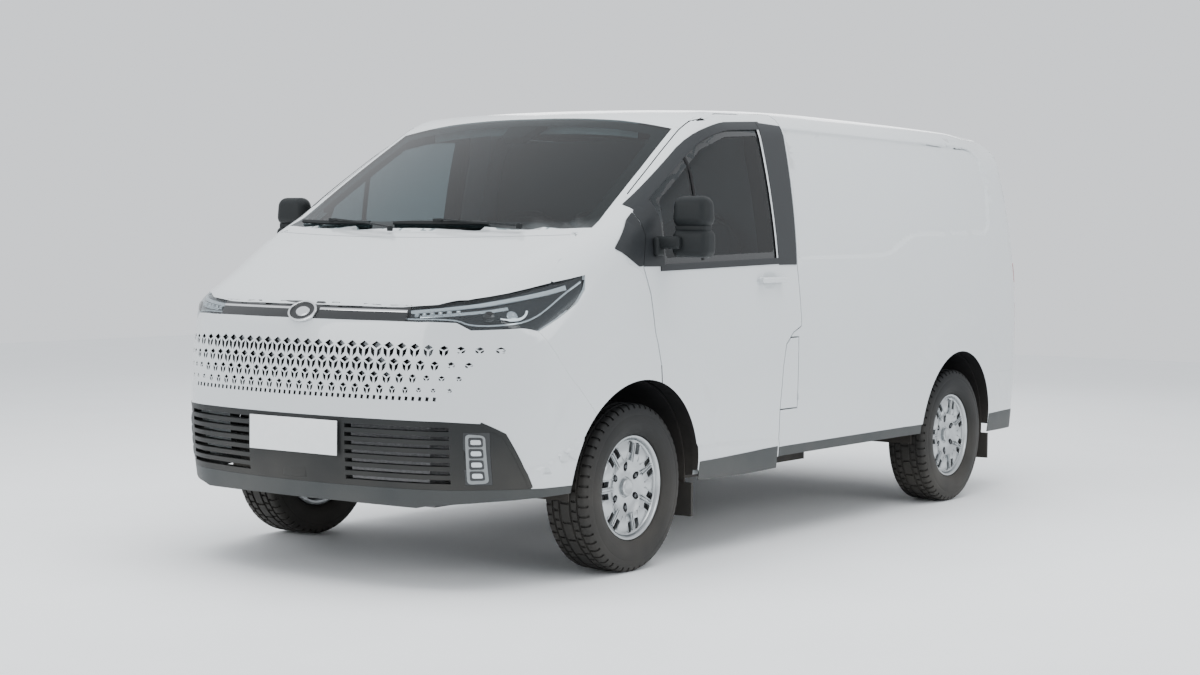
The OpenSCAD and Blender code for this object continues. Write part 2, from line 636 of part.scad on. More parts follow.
module front_suspension() color("black") both_sides() {
    // lower arm, strut and upper link
    translate([fx - 25, 360, 270]) cube([50, pivot_y - 360 - 130, 26]);
    translate([fx - 25, pivot_y - 170, 215]) cube([50, 60, 81]);
    translate([fx - 20, pivot_y - 130, 215]) cube([40, 130, 25]);
    translate([fx, pivot_y, 215]) cylinder(r = ball_r, h = 25);
    translate([fx, pivot_y - 150, 290]) cylinder(r = 28, h = spring_low - 290);
    translate([fx, pivot_y - 150, spring_low]) cylinder(r = strut_r, h = 840 - spring_low);
    translate([fx - 20, pivot_y - 150, 455]) cube([40, 150, 25]);
    translate([fx, pivot_y, 455]) cylinder(r = ball_r, h = 25);
}

stub_r = hub_bore_r - 0.05;
disc_in = 34;        // inner face of the wheel's disc, from the middle of the tyre
module knuckle() color("gray") {
    translate([fx, pivot_y, 240 + joint_gap]) cylinder(r = 17, h = 215 - 2*joint_gap);
    translate([fx, pivot_y, tyre_r]) rotate([-90, 0, 0]) {
        cylinder(r = 60, h = 40);
        translate([0, 0, 26]) cylinder(r = 150, h = 16);
        translate([0, 0, 30]) cylinder(r = stub_r, h = disc_in + 20);
    }
}
module knuckle_left() knuckle();
module knuckle_right() mirrored() knuckle();

module rear_axle() color("black") {
    translate([rx, -wheel_y + 60, tyre_r]) rotate([-90, 0, 0]) cylinder(r = 36, h = 2*wheel_y - 120);
    both_sides() {
        translate([rx, wheel_y - 80, tyre_r]) rotate([-90, 0, 0]) {
            cylinder(r = 140, h = 70);
            translate([0, 0, 70]) cylinder(r = 60, h = 30);
            cylinder(r = stub_r, h = 80 + disc_in + 20);
        }
        // trailing arm and damper
        translate([rx - 30, rail_y - 25, tyre_r - 20]) cube([620, 50, 45]);
        translate([rx + 520, rail_y - 25, tyre_r - 20]) cube([70, 50, floor_z - floor_t - rail_w - tyre_r + 20]);
        translate([rx - 30, rail_y + 95, tyre_r]) cylinder(r = 45, h = floor_z - floor_t - tyre_r);
    }
}

module wheel_at(x, side) mirror([0, side < 0 ? 1 : 0, 0]) translate([x, wheel_y, tyre_r]) rotate([-90, 0, 0]) children();

rim_half = 88;
slots = 7;
module rim() color("silver") difference() {
    union() {
        rotate_extrude($fn = 96) polygon([[rim_r - 9, -rim_half], [rim_r + 11, -rim_half], [rim_r + 11, -rim_half + 8], [rim_r, -rim_half + 14],
            [rim_r, rim_half - 14], [rim_r + 11, rim_half - 8], [rim_r + 11, rim_half], [rim_r - 9, rim_half]]);
        rotate_extrude($fn = 96) polygon([[1, disc_in], [100, disc_in], [rim_r - 8, disc_in + 26], [rim_r - 8, disc_in + 44],
            [150, disc_in + 40], [100, disc_in + 22], [60, disc_in + 18], [1, disc_in + 22]]);
    }
    translate([0, 0, disc_in - 1]) cylinder(r = hub_bore_r, h = 60);
    for (a = [0:5]) rotate(a*60 + 30) translate([bolt_circle_r, 0, disc_in - 1]) cylinder(r = 11, h = 60);
    for (a = [0:slots - 1]) rotate(a*360/slots + 90) for (b = [-24, 24]) translate([rim_r - 62, b - 11, disc_in - 1]) cube([46, 22, 60]);
}
module tyre() color("black") rotate_extrude($fn = 96) polygon([[rim_r + joint_gap, -rim_half + 15], [rim_r + joint_gap, rim_half - 15],
    [rim_r + 12, rim_half - 9], [rim_r + 14, rim_half + 4], [rim_r + 45, tyre_w/2 - 3], [rim_r + 72, tyre_w/2],
    [tyre_r - 34, tyre_w/2 - 3], [tyre_r - 10, tyre_w/2 - 13], [tyre_r, tyre_w/2 - 34],
    [tyre_r, -tyre_w/2 + 34], [tyre_r - 10, -tyre_w/2 + 13], [tyre_r - 34, -tyre_w/2 + 3], [rim_r + 72, -tyre_w/2],
    [rim_r + 45, -tyre_w/2 + 3], [rim_r + 14, -rim_half - 4], [rim_r + 12, -rim_half + 9]]);

module rim_front_left() wheel_at(fx, 1) rim();
module rim_front_right() wheel_at(fx, -1) rim();
module rim_rear_left() wheel_at(rx, 1) rim();
module rim_rear_right() wheel_at(rx, -1) rim();
module tyre_front_left() wheel_at(fx, 1) tyre();
module tyre_front_right() wheel_at(fx, -1) tyre();
module tyre_rear_left() wheel_at(rx, 1) tyre();
module tyre_rear_right() wheel_at(rx, -1) tyre();

floor();
side_left();
side_right();
roof();
front_frame();
wings();
bonnet();
front_bumper();
grille_strip();
lower_grille();
front_lip();
headlamps();
fog_lamps();
windscreen();
wipers();
front_plate();
rear_plate();
front_door_left();
front_door_right();
door_glass_left();
door_glass_right();
mirror_left();
mirror_right();
sliding_door();
rear_door_left();
rear_door_right();
rear_bumper();
tail_lamps();
filler_flap();
sill_trims();
mud_flaps();
arch_liners();
bulkhead();
dashboard();
steering_wheel();
seats();
battery_pack();
drive_unit();
front_suspension();
rear_axle();
knuckle_left();
knuckle_right();
rim_front_left();
rim_front_right();
rim_rear_left();
rim_rear_right();
tyre_front_left();
tyre_front_right();
tyre_rear_left();
tyre_rear_right();
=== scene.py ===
import math
import time

import bpy
import bmesh
import numpy as np
from mathutils import Matrix, Vector


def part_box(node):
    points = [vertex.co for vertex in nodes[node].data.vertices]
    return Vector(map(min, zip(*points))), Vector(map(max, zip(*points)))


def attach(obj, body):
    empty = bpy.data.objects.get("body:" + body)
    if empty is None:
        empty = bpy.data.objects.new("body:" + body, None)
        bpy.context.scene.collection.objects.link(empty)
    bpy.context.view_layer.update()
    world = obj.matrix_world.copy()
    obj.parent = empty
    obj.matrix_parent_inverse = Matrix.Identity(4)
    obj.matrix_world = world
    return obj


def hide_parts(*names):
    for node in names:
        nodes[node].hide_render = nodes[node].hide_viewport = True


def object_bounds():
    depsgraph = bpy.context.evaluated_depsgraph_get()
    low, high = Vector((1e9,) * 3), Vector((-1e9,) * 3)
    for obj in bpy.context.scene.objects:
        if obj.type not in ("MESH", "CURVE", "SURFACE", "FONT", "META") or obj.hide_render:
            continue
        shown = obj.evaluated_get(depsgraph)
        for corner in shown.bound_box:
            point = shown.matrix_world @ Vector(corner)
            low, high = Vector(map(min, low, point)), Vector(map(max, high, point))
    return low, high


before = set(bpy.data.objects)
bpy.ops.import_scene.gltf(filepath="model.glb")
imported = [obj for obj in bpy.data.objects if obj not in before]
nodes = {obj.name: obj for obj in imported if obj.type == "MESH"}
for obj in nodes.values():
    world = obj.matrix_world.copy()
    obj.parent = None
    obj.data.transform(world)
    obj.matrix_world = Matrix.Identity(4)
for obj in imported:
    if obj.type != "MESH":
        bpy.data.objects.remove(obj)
cadBox = [list(corner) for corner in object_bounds()]
started = time.time()


def say(stage):
    print("%5.1f s  %s" % (time.time() - started, stage))


# the van's outer form, in millimetres: the same curves as the CAD's
form = {
    "half": 1012.0, "nose": 2496.0, "tail": 2496.0, "frontAxle": 1500.0, "rearAxle": -1500.0,
    "height": 1995.0, "cowlZ": 1400.0, "cowlX": 1790.0, "headerX": 900.0, "bonnetZ": 1101.0,
}
screenRise = (form["height"] - 46 - form["cowlZ"]) / (form["cowlX"] - form["headerX"])

# pressed shapes in the side panels, in millimetres, X and Z
pressings = {
    "recess": [(140, 1893), (-1860, 1884), (-1950, 1868), (-2010, 1826), (-2046, 1699), (-1990, 1462),
               (-1925, 1432), (-1128, 1418), (-1010, 1408), (-930, 1388), (-800, 1338), (-730, 1318),
               (-640, 1309),
               (172, 1296)],
    "recessDepth": 13, "recessEdge": 20,
    "doorCrease": [(1140, 455), (1110, 490), (1081, 498), (1050, 492), (1010, 482), (903, 487), (366, 460),
                   (300, 440)],
    "bumperCrease": [(1840, 585), (1905, 560), (1985, 520), (2060, 475), (2160, 462), (2300, 440)],
    "creaseDepth": 6, "creaseEdge": 9,
    "flareRadius": 590, "flareDepth": 5, "flareEdge": 45,
}


def ease(t):
    c = np.clip(t, 0, 1)
    return c * c * (3 - 2 * c)


def softMin(a, b, k):
    h = np.clip(0.5 + 0.5 * (b - a) / k, 0, 1)
    return b * (1 - h) + a * h - k * h * (1 - h)


def both(a, b, r):
    return np.minimum(np.maximum(a, b), -r) + np.hypot(np.maximum(a + r, 0), np.maximum(b + r, 0))


def halfWidth(x, z):
    return (form["half"] - 1.1e-4 * np.maximum(800 - z, 0) ** 2 - 1.35e-4 * np.maximum(z - 900, 0) ** 2
            - 1.2e-4 * np.maximum(x - form["frontAxle"] + 200, 0) ** 2
            - 4e-5 * np.maximum(form["rearAxle"] + 300 - x, 0) ** 2)


def topAt(x, y):
    t = (x - form["cowlX"]) / (form["nose"] - 40 - form["cowlX"])
    bonnet = form["cowlZ"] - (form["cowlZ"] - form["bonnetZ"] + 8) * (0.9 * t + 0.1 * t * np.abs(t)) - 6e-5 * y * y
    bonnet = np.where(x < form["frontAxle"], 0, bonnet)
    u = form["cowlX"] - 2.06e-4 * y * y - x
    full = form["cowlX"] - form["headerX"]
    screen = form["cowlZ"] + screenRise * u + 5e-5 * u * (full - u)
    t = x - form["frontAxle"] + 1800
    roof = form["height"] - np.where(t > 0, 2.6e-5, 0.4e-5) * t * t - 2.5e-5 * y * y
    return np.maximum(bonnet, softMin(screen, roof, 60))


def lineDistance(x, z, points, closed=False):
    best = np.full(x.shape, 1e9)
    ends = points[1:] + ([points[0]] if closed else [])
    for (ax, az), (bx, bz) in zip(points, ends):
        dx, dz = bx - ax, bz - az
        t = np.clip(((x - ax) * dx + (z - az) * dz) / (dx * dx + dz * dz), 0, 1)
        best = np.minimum(best, np.hypot(x - ax - t * dx, z - az - t * dz))
    return best


def inside(x, z, points):
    result = np.zeros(x.shape, bool)
    for (ax, az), (bx, bz) in zip(points, points[1:] + [points[0]]):
        if az != bz:
            crosses = ((az > z) != (bz > z)) & (x < (bx - ax) * (z - az) / (bz - az) + ax)
            result ^= crosses
    return result


def pressedOut(x, y, z):
    # how far the sheet metal is pressed outwards at a place on the side
    onSide = ease((np.abs(y) - halfWidth(x, z) + 70) / 40)
    apart = lineDistance(x, z, pressings["recess"], True)
    apart = np.where(inside(x, z, pressings["recess"]), apart, -apart)
    out = -pressings["recessDepth"] * ease(apart / pressings["recessEdge"] + 0.5)
    for line in ("doorCrease", "bumperCrease"):
        points = sorted(pressings[line])
        xs, zs = [p[0] for p in points], [p[1] for p in points]
        within = ease((x - xs[0]) / 90 + (0.5 if line == "bumperCrease" else 0)) * ease((xs[-1] - x) / 60 + (0.6 if line == "doorCrease" else 0))
        below = np.interp(x, xs, zs) - z
        out = out + pressings["creaseDepth"] * ease(below / pressings["creaseEdge"] / 2 + 0.5) * ease((330 - below) / 200) * within
    for axle in (form["frontAxle"] - 22, form["rearAxle"] - 25):
        r = np.hypot(x - axle, (z - 368) * 0.96)
        out = out + pressings["flareDepth"] * (1 - ease((r - pressings["flareRadius"]) / pressings["flareEdge"] + 0.5)) * ease((z - 330) / 150)
    return out * onSide


def depthAt(p):
    # distance outside the skin, in millimetres, of points in a list of rows
    x, y, z = p[:, 0], p[:, 1], p[:, 2]
    top = (z - topAt(x, y)) * 0.87
    front = form["nose"] - 2.4e-4 * (z - 640) ** 2 - 2.16e-4 * y * y
    rear = form["tail"] - 6e-5 * np.maximum(z - 1000, 0) ** 2 - 2.5e-5 * y * y
    ends = both(both(top, x - front, 70), -x - rear, 90)
    corner = 100 + 180 * ease((x - form["frontAxle"]) / 700) + 90 * ease((form["rearAxle"] - 200 - x) / 600)
    return both(ends, np.abs(y) - halfWidth(x, z), corner) - pressedOut(x, y, z)


def slopeAt(p, step=0.5):
    result = np.zeros(p.shape)
    for axis in range(3):
        shift = np.zeros(3)
        shift[axis] = step
        result[:, axis] = (depthAt(p + shift) - depthAt(p - shift)) / (2 * step)
    return result


def ontoSkin(p, level=0.0, rounds=4):
    # slides points to a level outside (+) or inside (-) the skin
    for _ in range(rounds):
        slope = slopeAt(p)
        p = p - slope * ((depthAt(p) - level) / np.maximum((slope ** 2).sum(1), 0.05))[:, None]
    return p


def throughSkin(points, view, level=0.0):
    # places outline points on the skin, looking at it from one side
    points = np.array(points, float)
    n = len(points)
    low, high = np.zeros(n), np.full(n, 3200.0)
    for _ in range(34):
        mid = (low + high) / 2
        outside = depthAt(lift3(points, view, mid)) > 0
        low, high = np.where(outside, low, mid), np.where(outside, mid, high)
    p = lift3(points, view, (low + high) / 2)
    if level:
        slope = slopeAt(p)
        p = p + slope / np.linalg.norm(slope, axis=1)[:, None] * level
    return p


def lift3(points, view, far):
    a, b = points[:, 0], points[:, 1]
    if view == "left":
        return np.stack([a, far, b], 1)
    if view == "right":
        return np.stack([a, -far, b], 1)
    if view == "front":
        return np.stack([far, a, b], 1)
    if view == "rear":
        return np.stack([-far, a, b], 1)
    if view == "top":
        return np.stack([a, b, far], 1)
    sine, cosine = math.sin(view[1]), math.cos(view[1])
    return np.stack([far * cosine - a * sine, far * sine + a * cosine, b], 1)


def addNode(tree, kind, values=(), links=()):
    # a shader node with some of its sockets set and some linked
    made = tree.nodes.new("ShaderNode" + kind)
    for socket, value in dict(values).items():
        made.inputs[socket].default_value = value
    for socket, source in dict(links).items():
        tree.links.new(source, made.inputs[socket])
    return made


def rampFrom(tree, source, dark, light, start=0.0, end=1.0):
    ramp = addNode(tree, "ValToRGB", {}, {"Fac": source})
    for stop, position, colour in zip(ramp.color_ramp.elements, (start, end), (dark, light)):
        stop.position = position
        stop.color = list(colour) + [1]
    return ramp.outputs["Color"]


def multiplied(tree, first, second):
    product = addNode(tree, "Math", {}, {0: first, 1: second})
    product.operation = "MULTIPLY"
    return product.outputs[0]


def finish(name, colour, roughness, metallic=0.0, coat=0.0, speckle=0.03, speckleSize=60.0,
           bump=0.05, bumpSize=900.0, dust=0.0, sheen=0.0, specular=0.5):
    # one finish: speckled colour, uneven roughness, a fine grain and, low down, road dust
    made = bpy.data.materials.new(name)
    made.use_nodes = True
    tree = made.node_tree
    shader = tree.nodes["Principled BSDF"]
    for socket, value in (("Metallic", metallic), ("Coat Weight", coat), ("Coat Roughness", 0.04),
                          ("Sheen Weight", sheen), ("Specular IOR Level", specular)):
        shader.inputs[socket].default_value = value
    place = addNode(tree, "TexCoord").outputs["Object"]
    speckles = addNode(tree, "TexNoise", {"Scale": speckleSize, "Detail": 4},
                       {"Vector": place}).outputs["Fac"]
    dark, light = [c * (1 - speckle) for c in colour], [min(1, c * (1 + speckle)) for c in colour]
    coloured = rampFrom(tree, speckles, dark, light, 0.3, 0.7)
    if dust:
        patches = addNode(tree, "TexNoise", {"Scale": 4}, {"Vector": place}).outputs["Fac"]
        height = addNode(tree, "SeparateXYZ", {}, {"Vector": place}).outputs["Z"]
        low = addNode(tree, "MapRange", {"From Min": 0.75, "From Max": 0.15, "To Max": dust},
                      {"Value": height})
        mix = addNode(tree, "Mix")
        mix.data_type = "RGBA"
        mix.inputs[7].default_value = (0.30, 0.27, 0.23, 1)
        tree.links.new(multiplied(tree, low.outputs["Result"], patches), mix.inputs[0])
        tree.links.new(coloured, mix.inputs[6])
        coloured = mix.outputs[2]
    roughRange = {"To Min": max(0.01, roughness * 0.92), "To Max": min(1, roughness * 1.08)}
    rough = addNode(tree, "MapRange", roughRange, {"Value": speckles}).outputs["Result"]
    grain = addNode(tree, "TexNoise", {"Scale": bumpSize, "Detail": 2}, {"Vector": place}).outputs["Fac"]
    relief = addNode(tree, "Bump", {"Strength": bump, "Distance": 0.001}, {"Height": grain}).outputs["Normal"]
    for socket, source in (("Base Color", coloured), ("Roughness", rough), ("Normal", relief)):
        tree.links.new(source, shader.inputs[socket])
    return made


def glassFinish(name, tint):
    # thin tinted glass: it lets light straight through and shines on its front only
    made = bpy.data.materials.new(name)
    made.use_nodes = True
    tree = made.node_tree
    tree.nodes.remove(tree.nodes["Principled BSDF"])
    place = addNode(tree, "TexCoord").outputs["Object"]
    cloud = addNode(tree, "TexNoise", {"Scale": 2.5}, {"Vector": place}).outputs["Fac"]
    tinted = rampFrom(tree, cloud, [c * 0.96 for c in tint], tint)
    clear = addNode(tree, "BsdfTransparent", {}, {"Color": tinted}).outputs["BSDF"]
    shine = addNode(tree, "BsdfGlossy", {"Roughness": 0.02}).outputs["BSDF"]
    fresnel = addNode(tree, "Fresnel", {"IOR": 1.45}).outputs["Fac"]
    front = addNode(tree, "Math", {0: 1}, {1: addNode(tree, "NewGeometry").outputs["Backfacing"]})
    front.operation = "SUBTRACT"
    share = multiplied(tree, fresnel, front.outputs[0])
    mix = addNode(tree, "MixShader", {}, {"Fac": share, 1: clear, 2: shine})
    tree.links.new(mix.outputs["Shader"], tree.nodes["Material Output"].inputs["Surface"])
    return made


whitePaint = finish("white_paint", (0.60, 0.63, 0.645), 0.2, coat=0.7, speckle=0.006, speckleSize=3,
                    bump=0.02, bumpSize=700, dust=0.10)
blackGloss = finish("black_gloss_trim", (0.012, 0.013, 0.014), 0.16, coat=0.5, speckle=0.1, bump=0.02,
                    specular=0.4)
blackPlastic = finish("black_grained_plastic", (0.013, 0.015, 0.016), 0.5, speckle=0.12, speckleSize=240,
                      bump=0.25, bumpSize=1600, dust=0.25, specular=0.22)
greyPlastic = finish("grey_grained_plastic", (0.030, 0.036, 0.039), 0.5, speckle=0.10, speckleSize=240,
                     bump=0.25, bumpSize=1600, dust=0.25, specular=0.25)
trimGrey = finish("satin_trim", (0.018, 0.020, 0.022), 0.38, speckle=0.06, speckleSize=90, bump=0.06,
                  specular=0.3)
linerFelt = finish("liner_felt", (0.010, 0.010, 0.011), 0.95, speckle=0.3, speckleSize=400, bump=0.6,
                   bumpSize=500, dust=0.3, specular=0.1)
rubber = finish("tyre_rubber", (0.009, 0.010, 0.011), 0.62, speckle=0.2, speckleSize=120, bump=0.2,
                bumpSize=500, dust=0.22, specular=0.2)
rubberSeal = finish("seal_rubber", (0.010, 0.010, 0.011), 0.6, speckle=0.15, speckleSize=200, bump=0.1,
                    specular=0.2)
wheelSilver = finish("wheel_silver", (0.44, 0.46, 0.47), 0.28, metallic=0.9, coat=0.4, speckle=0.04,
                     speckleSize=500, bump=0.05, bumpSize=1500, dust=0.06)
castGrey = finish("cast_metal", (0.20, 0.20, 0.21), 0.55, metallic=0.8, speckle=0.2, speckleSize=60, bump=0.4,
                  bumpSize=400, dust=0.3)
steelDark = finish("underbody_coat", (0.035, 0.036, 0.038), 0.72, speckle=0.25, speckleSize=40, bump=0.5,
                   bumpSize=350, dust=0.35, specular=0.3)
chrome = finish("bright_metal", (0.85, 0.86, 0.87), 0.10, metallic=1.0, speckle=0.02, bump=0.01)
satinMetal = finish("satin_metal", (0.60, 0.61, 0.62), 0.28, metallic=1.0, speckle=0.04, speckleSize=300,
                    bump=0.03)
cabPlastic = finish("cab_plastic", (0.030, 0.033, 0.036), 0.6, speckle=0.12, speckleSize=200, bump=0.3,
                    bumpSize=1300, specular=0.25)
cabGrey = finish("cab_lining", (0.20, 0.21, 0.22), 0.8, speckle=0.06, speckleSize=120, bump=0.15,
                 bumpSize=900)
plateWhite = finish("plate_blank", (0.80, 0.82, 0.83), 0.4, speckle=0.02, speckleSize=30, bump=0.08,
                    bumpSize=300)
lampRed = finish("lamp_red", (0.35, 0.008, 0.010), 0.12, coat=0.8, speckle=0.08, speckleSize=90, bump=0.1,
                 bumpSize=260)
lampSmoke = finish("lamp_housing", (0.012, 0.014, 0.016), 0.22, coat=0.5, speckle=0.15, speckleSize=80,
                   bump=0.05, specular=0.35)
lampSilver = finish("lamp_reflector", (0.55, 0.58, 0.60), 0.18, metallic=0.9, speckle=0.06, speckleSize=120,
                    bump=0.1, bumpSize=500)
lampWhite = finish("lamp_light_guide", (0.86, 0.90, 0.92), 0.15, coat=0.6, speckle=0.03, speckleSize=200,
                   bump=0.1, bumpSize=700)
floorGrey = finish("floor_panel", (0.13, 0.12, 0.11), 0.75, speckle=0.15, speckleSize=30, bump=0.3,
                   bumpSize=300)
screenGlass = glassFinish("windscreen_glass", (0.50, 0.56, 0.57))
sideGlass = glassFinish("side_glass", (0.52, 0.57, 0.59))
lampCover = glassFinish("lamp_cover", (0.93, 0.95, 0.96))
say("finishes")


def deselect():
    if bpy.context.object and bpy.context.object.mode != "OBJECT":
        bpy.ops.object.mode_set(mode="OBJECT")
    bpy.ops.object.select_all(action="DESELECT")


def pick(obj):
    deselect()
    obj.select_set(True)
    bpy.context.view_layer.objects.active = obj


def settle(obj, name, mat, body, replaced=()):
    # names a finished piece, gives it its finish and puts it on its body
    obj.name = name
    obj.data.name = name
    if mat is not None and not obj.data.materials:
        obj.data.materials.append(mat)
    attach(obj, body)
    if replaced:
        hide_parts(*replaced)
    return obj


def applyAll(obj):
    pick(obj)
    for modifier in list(obj.modifiers):
        bpy.ops.object.modifier_apply(modifier=modifier.name)
    return obj


def linked(name, data):
    obj = bpy.data.objects.new(name, data)
    bpy.context.scene.collection.objects.link(obj)
    return obj


def bevelled(obj, width, segments, degrees=None):
    # rounds all edges, or those sharper than an angle
    edge = obj.modifiers.new("edge", "BEVEL")
    edge.width = width
    edge.segments = segments
    if degrees is None:
        edge.limit_method = "NONE"
    else:
        edge.angle_limit = math.radians(degrees)
    return applyAll(obj)


def turnedOut(obj):
    # points every face's normal outward
    pick(obj)
    bpy.ops.object.mode_set(mode="EDIT")
    bpy.ops.mesh.select_all(action="SELECT")
    bpy.ops.mesh.normals_make_consistent(inside=False)
    bpy.ops.object.mode_set(mode="OBJECT")


def resized(obj, size):
    bpy.ops.object.mode_set(mode="EDIT")
    bpy.ops.mesh.select_all(action="SELECT")
    bpy.ops.transform.resize(value=size)
    bpy.ops.object.mode_set(mode="OBJECT")


def openTop(obj):
    # goes into edit mode with the faces that look straight up selected
    bpy.ops.object.mode_set(mode="EDIT")
    bpy.ops.mesh.select_all(action="DESELECT")
    mesh = bmesh.from_edit_mesh(obj.data)
    for f in mesh.faces:
        f.select = f.normal.z > 0.9
    bmesh.update_edit_mesh(obj.data)


def cutInPlanes(mesh, axis, places):
    # parts every face along planes across one axis
    normal = [0, 0, 0]
    normal[axis] = 1
    for place in places:
        at = [0, 0, 0]
        at[axis] = place / 1000
        bmesh.ops.bisect_plane(mesh, geom=mesh.verts[:] + mesh.edges[:] + mesh.faces[:], dist=2e-5,
                               plane_co=at, plane_no=normal)


def faceArrays(mesh):
    mesh.normal_update()
    centres = np.array([f.calc_center_median()[:] for f in mesh.faces]) * 1000
    normals = np.array([f.normal[:] for f in mesh.faces])
    return centres, normals


def nearPressing(p):
    x, z = p[:, 0], p[:, 2]
    near = lineDistance(x, z, pressings["recess"], True) < 34
    near |= lineDistance(x, z, pressings["doorCrease"]) < 26
    near |= lineDistance(x, z, pressings["bumperCrease"]) < 26
    return near & (np.abs(p[:, 1]) > 700)


archSpots = ((1478, 368), (-1525, 368))
archReach = 480
windowSpan = {"x": (345, 1420), "z": (1250, 1930)}


def hiddenFace(face):
    # the turned-in edges of wheel arches and windows are black
    x, y, z = face.calc_center_median() * 1000
    if abs(y) < 600:
        return False
    nearArch = min(math.hypot(x - archX, z - archZ) for archX, archZ in archSpots) < archReach
    nearWindow = windowSpan["x"][0] < x < windowSpan["x"][1] and windowSpan["z"][0] < z < windowSpan["z"][1]
    return nearWindow or (nearArch and face.normal.y * y < 0.35 * abs(y))


def skinPiece(node, name, mat, body, grid=(60, 60, 60), outer=0.0, inner=None, refine=0, cutters=None,
              reach=16, pit=None, pitMat=None):
    # a CAD panel as smooth sheet metal: cut fine, then slid onto the exact outer form
    source = nodes[node]
    obj = linked(name, source.data.copy())
    obj.data.materials.clear()
    obj.data.materials.append(mat)
    if pitMat is not None:
        obj.data.materials.append(pitMat)
    mesh = bmesh.new()
    mesh.from_mesh(obj.data)
    bmesh.ops.remove_doubles(mesh, verts=mesh.verts[:], dist=1e-5)
    bmesh.ops.dissolve_limit(mesh, angle_limit=0.002, verts=mesh.verts[:], edges=mesh.edges[:])
    for f in mesh.faces:
        f.material_index = 0
    if cutters is not None:
        mesh.to_mesh(obj.data)
        mesh.free()
        cut = obj.modifiers.new("holes", "BOOLEAN")
        cut.operation = "DIFFERENCE"
        cut.solver = "MANIFOLD"
        cut.object = cutters
        applyAll(obj)
        mesh = bmesh.new()
        mesh.from_mesh(obj.data)
    low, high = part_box(node)
    for axis in range(3):
        if grid[axis]:
            start, end = low[axis] * 1000, high[axis] * 1000
            cutInPlanes(mesh, axis, np.arange(math.ceil(start / grid[axis]) * grid[axis], end, grid[axis]))
    for _ in range(refine):
        centres, normals = faceArrays(mesh)
        out = nearPressing(centres) & (np.abs(depthAt(centres) - outer) < reach) & ((slopeAt(centres) * normals).sum(1) > 0.5)
        edges = set(e for f, hit in zip(mesh.faces[:], out) if hit for e in f.edges)
        bmesh.ops.subdivide_edges(mesh, edges=list(edges), cuts=1, use_grid_fill=True)
    centres, normals = faceArrays(mesh)
    slope = slopeAt(centres, 4)
    facing = (slope * normals).sum(1)
    depth = depthAt(centres)
    isOut = (facing > 0.6) & (np.abs(depth - outer) < reach)
    isIn = (facing < -0.6) & (np.abs(depth - inner) < reach) if inner is not None else np.zeros(len(depth),
            bool)
    mesh.verts.index_update()
    where = {}
    for f, o, i in zip(mesh.faces[:], isOut, isIn):
        if o or i:
            for v in f.verts:
                where[v.index] = inner if i and where.get(v.index) != outer else outer
    mesh.verts.ensure_lookup_table()
    for level in set(where.values()):
        ids = [i for i, l in where.items() if l == level]
        p = ontoSkin(np.array([mesh.verts[i].co[:] for i in ids]) * 1000, level)
        p[:, 2] = np.minimum(p[:, 2], cadBox[1][2] * 1000)
        for i, q in zip(ids, p):
            mesh.verts[i].co = q / 1000
    outFaces = set(f.index for f, o in zip(mesh.faces[:], isOut) if o)
    inFaces = set(f.index for f, i in zip(mesh.faces[:], isIn) if i)
    if mat is whitePaint and pitMat is None:
        pitMat, pit = linerFelt, hiddenFace
        obj.data.materials.append(pitMat)
    if pitMat is not None:
        for f in mesh.faces:
            if f.index not in outFaces and (pit(f) or hiddenFace(f)):
                f.material_index = 1
    mesh.to_mesh(obj.data)
    mesh.free()
    smoothOnSkin(obj, outFaces, inFaces)
    return settle(obj, name, mat, body, (node,))


def smoothOnSkin(obj, outFaces, inFaces=()):
    # exact normals of the outer form on its faces, flat ones elsewhere
    data = obj.data
    data.shade_smooth()
    co = np.zeros(len(data.vertices) * 3)
    data.vertices.foreach_get("co", co)
    co = co.reshape(-1, 3) * 1000
    slope = slopeAt(co, 1.5)
    slope /= np.maximum(np.linalg.norm(slope, axis=1), 1e-9)[:, None]
    normals = np.zeros((len(data.loops), 3))
    for poly in data.polygons:
        span = slice(poly.loop_start, poly.loop_start + poly.loop_total)
        verts = [data.loops[i].vertex_index for i in range(poly.loop_start,
                                                           poly.loop_start + poly.loop_total)]
        if poly.index in outFaces:
            normals[span] = slope[verts]
        elif poly.index in inFaces:
            normals[span] = -slope[verts]
        else:
            normals[span] = poly.normal[:]
    data.normals_split_custom_set(normals.tolist())


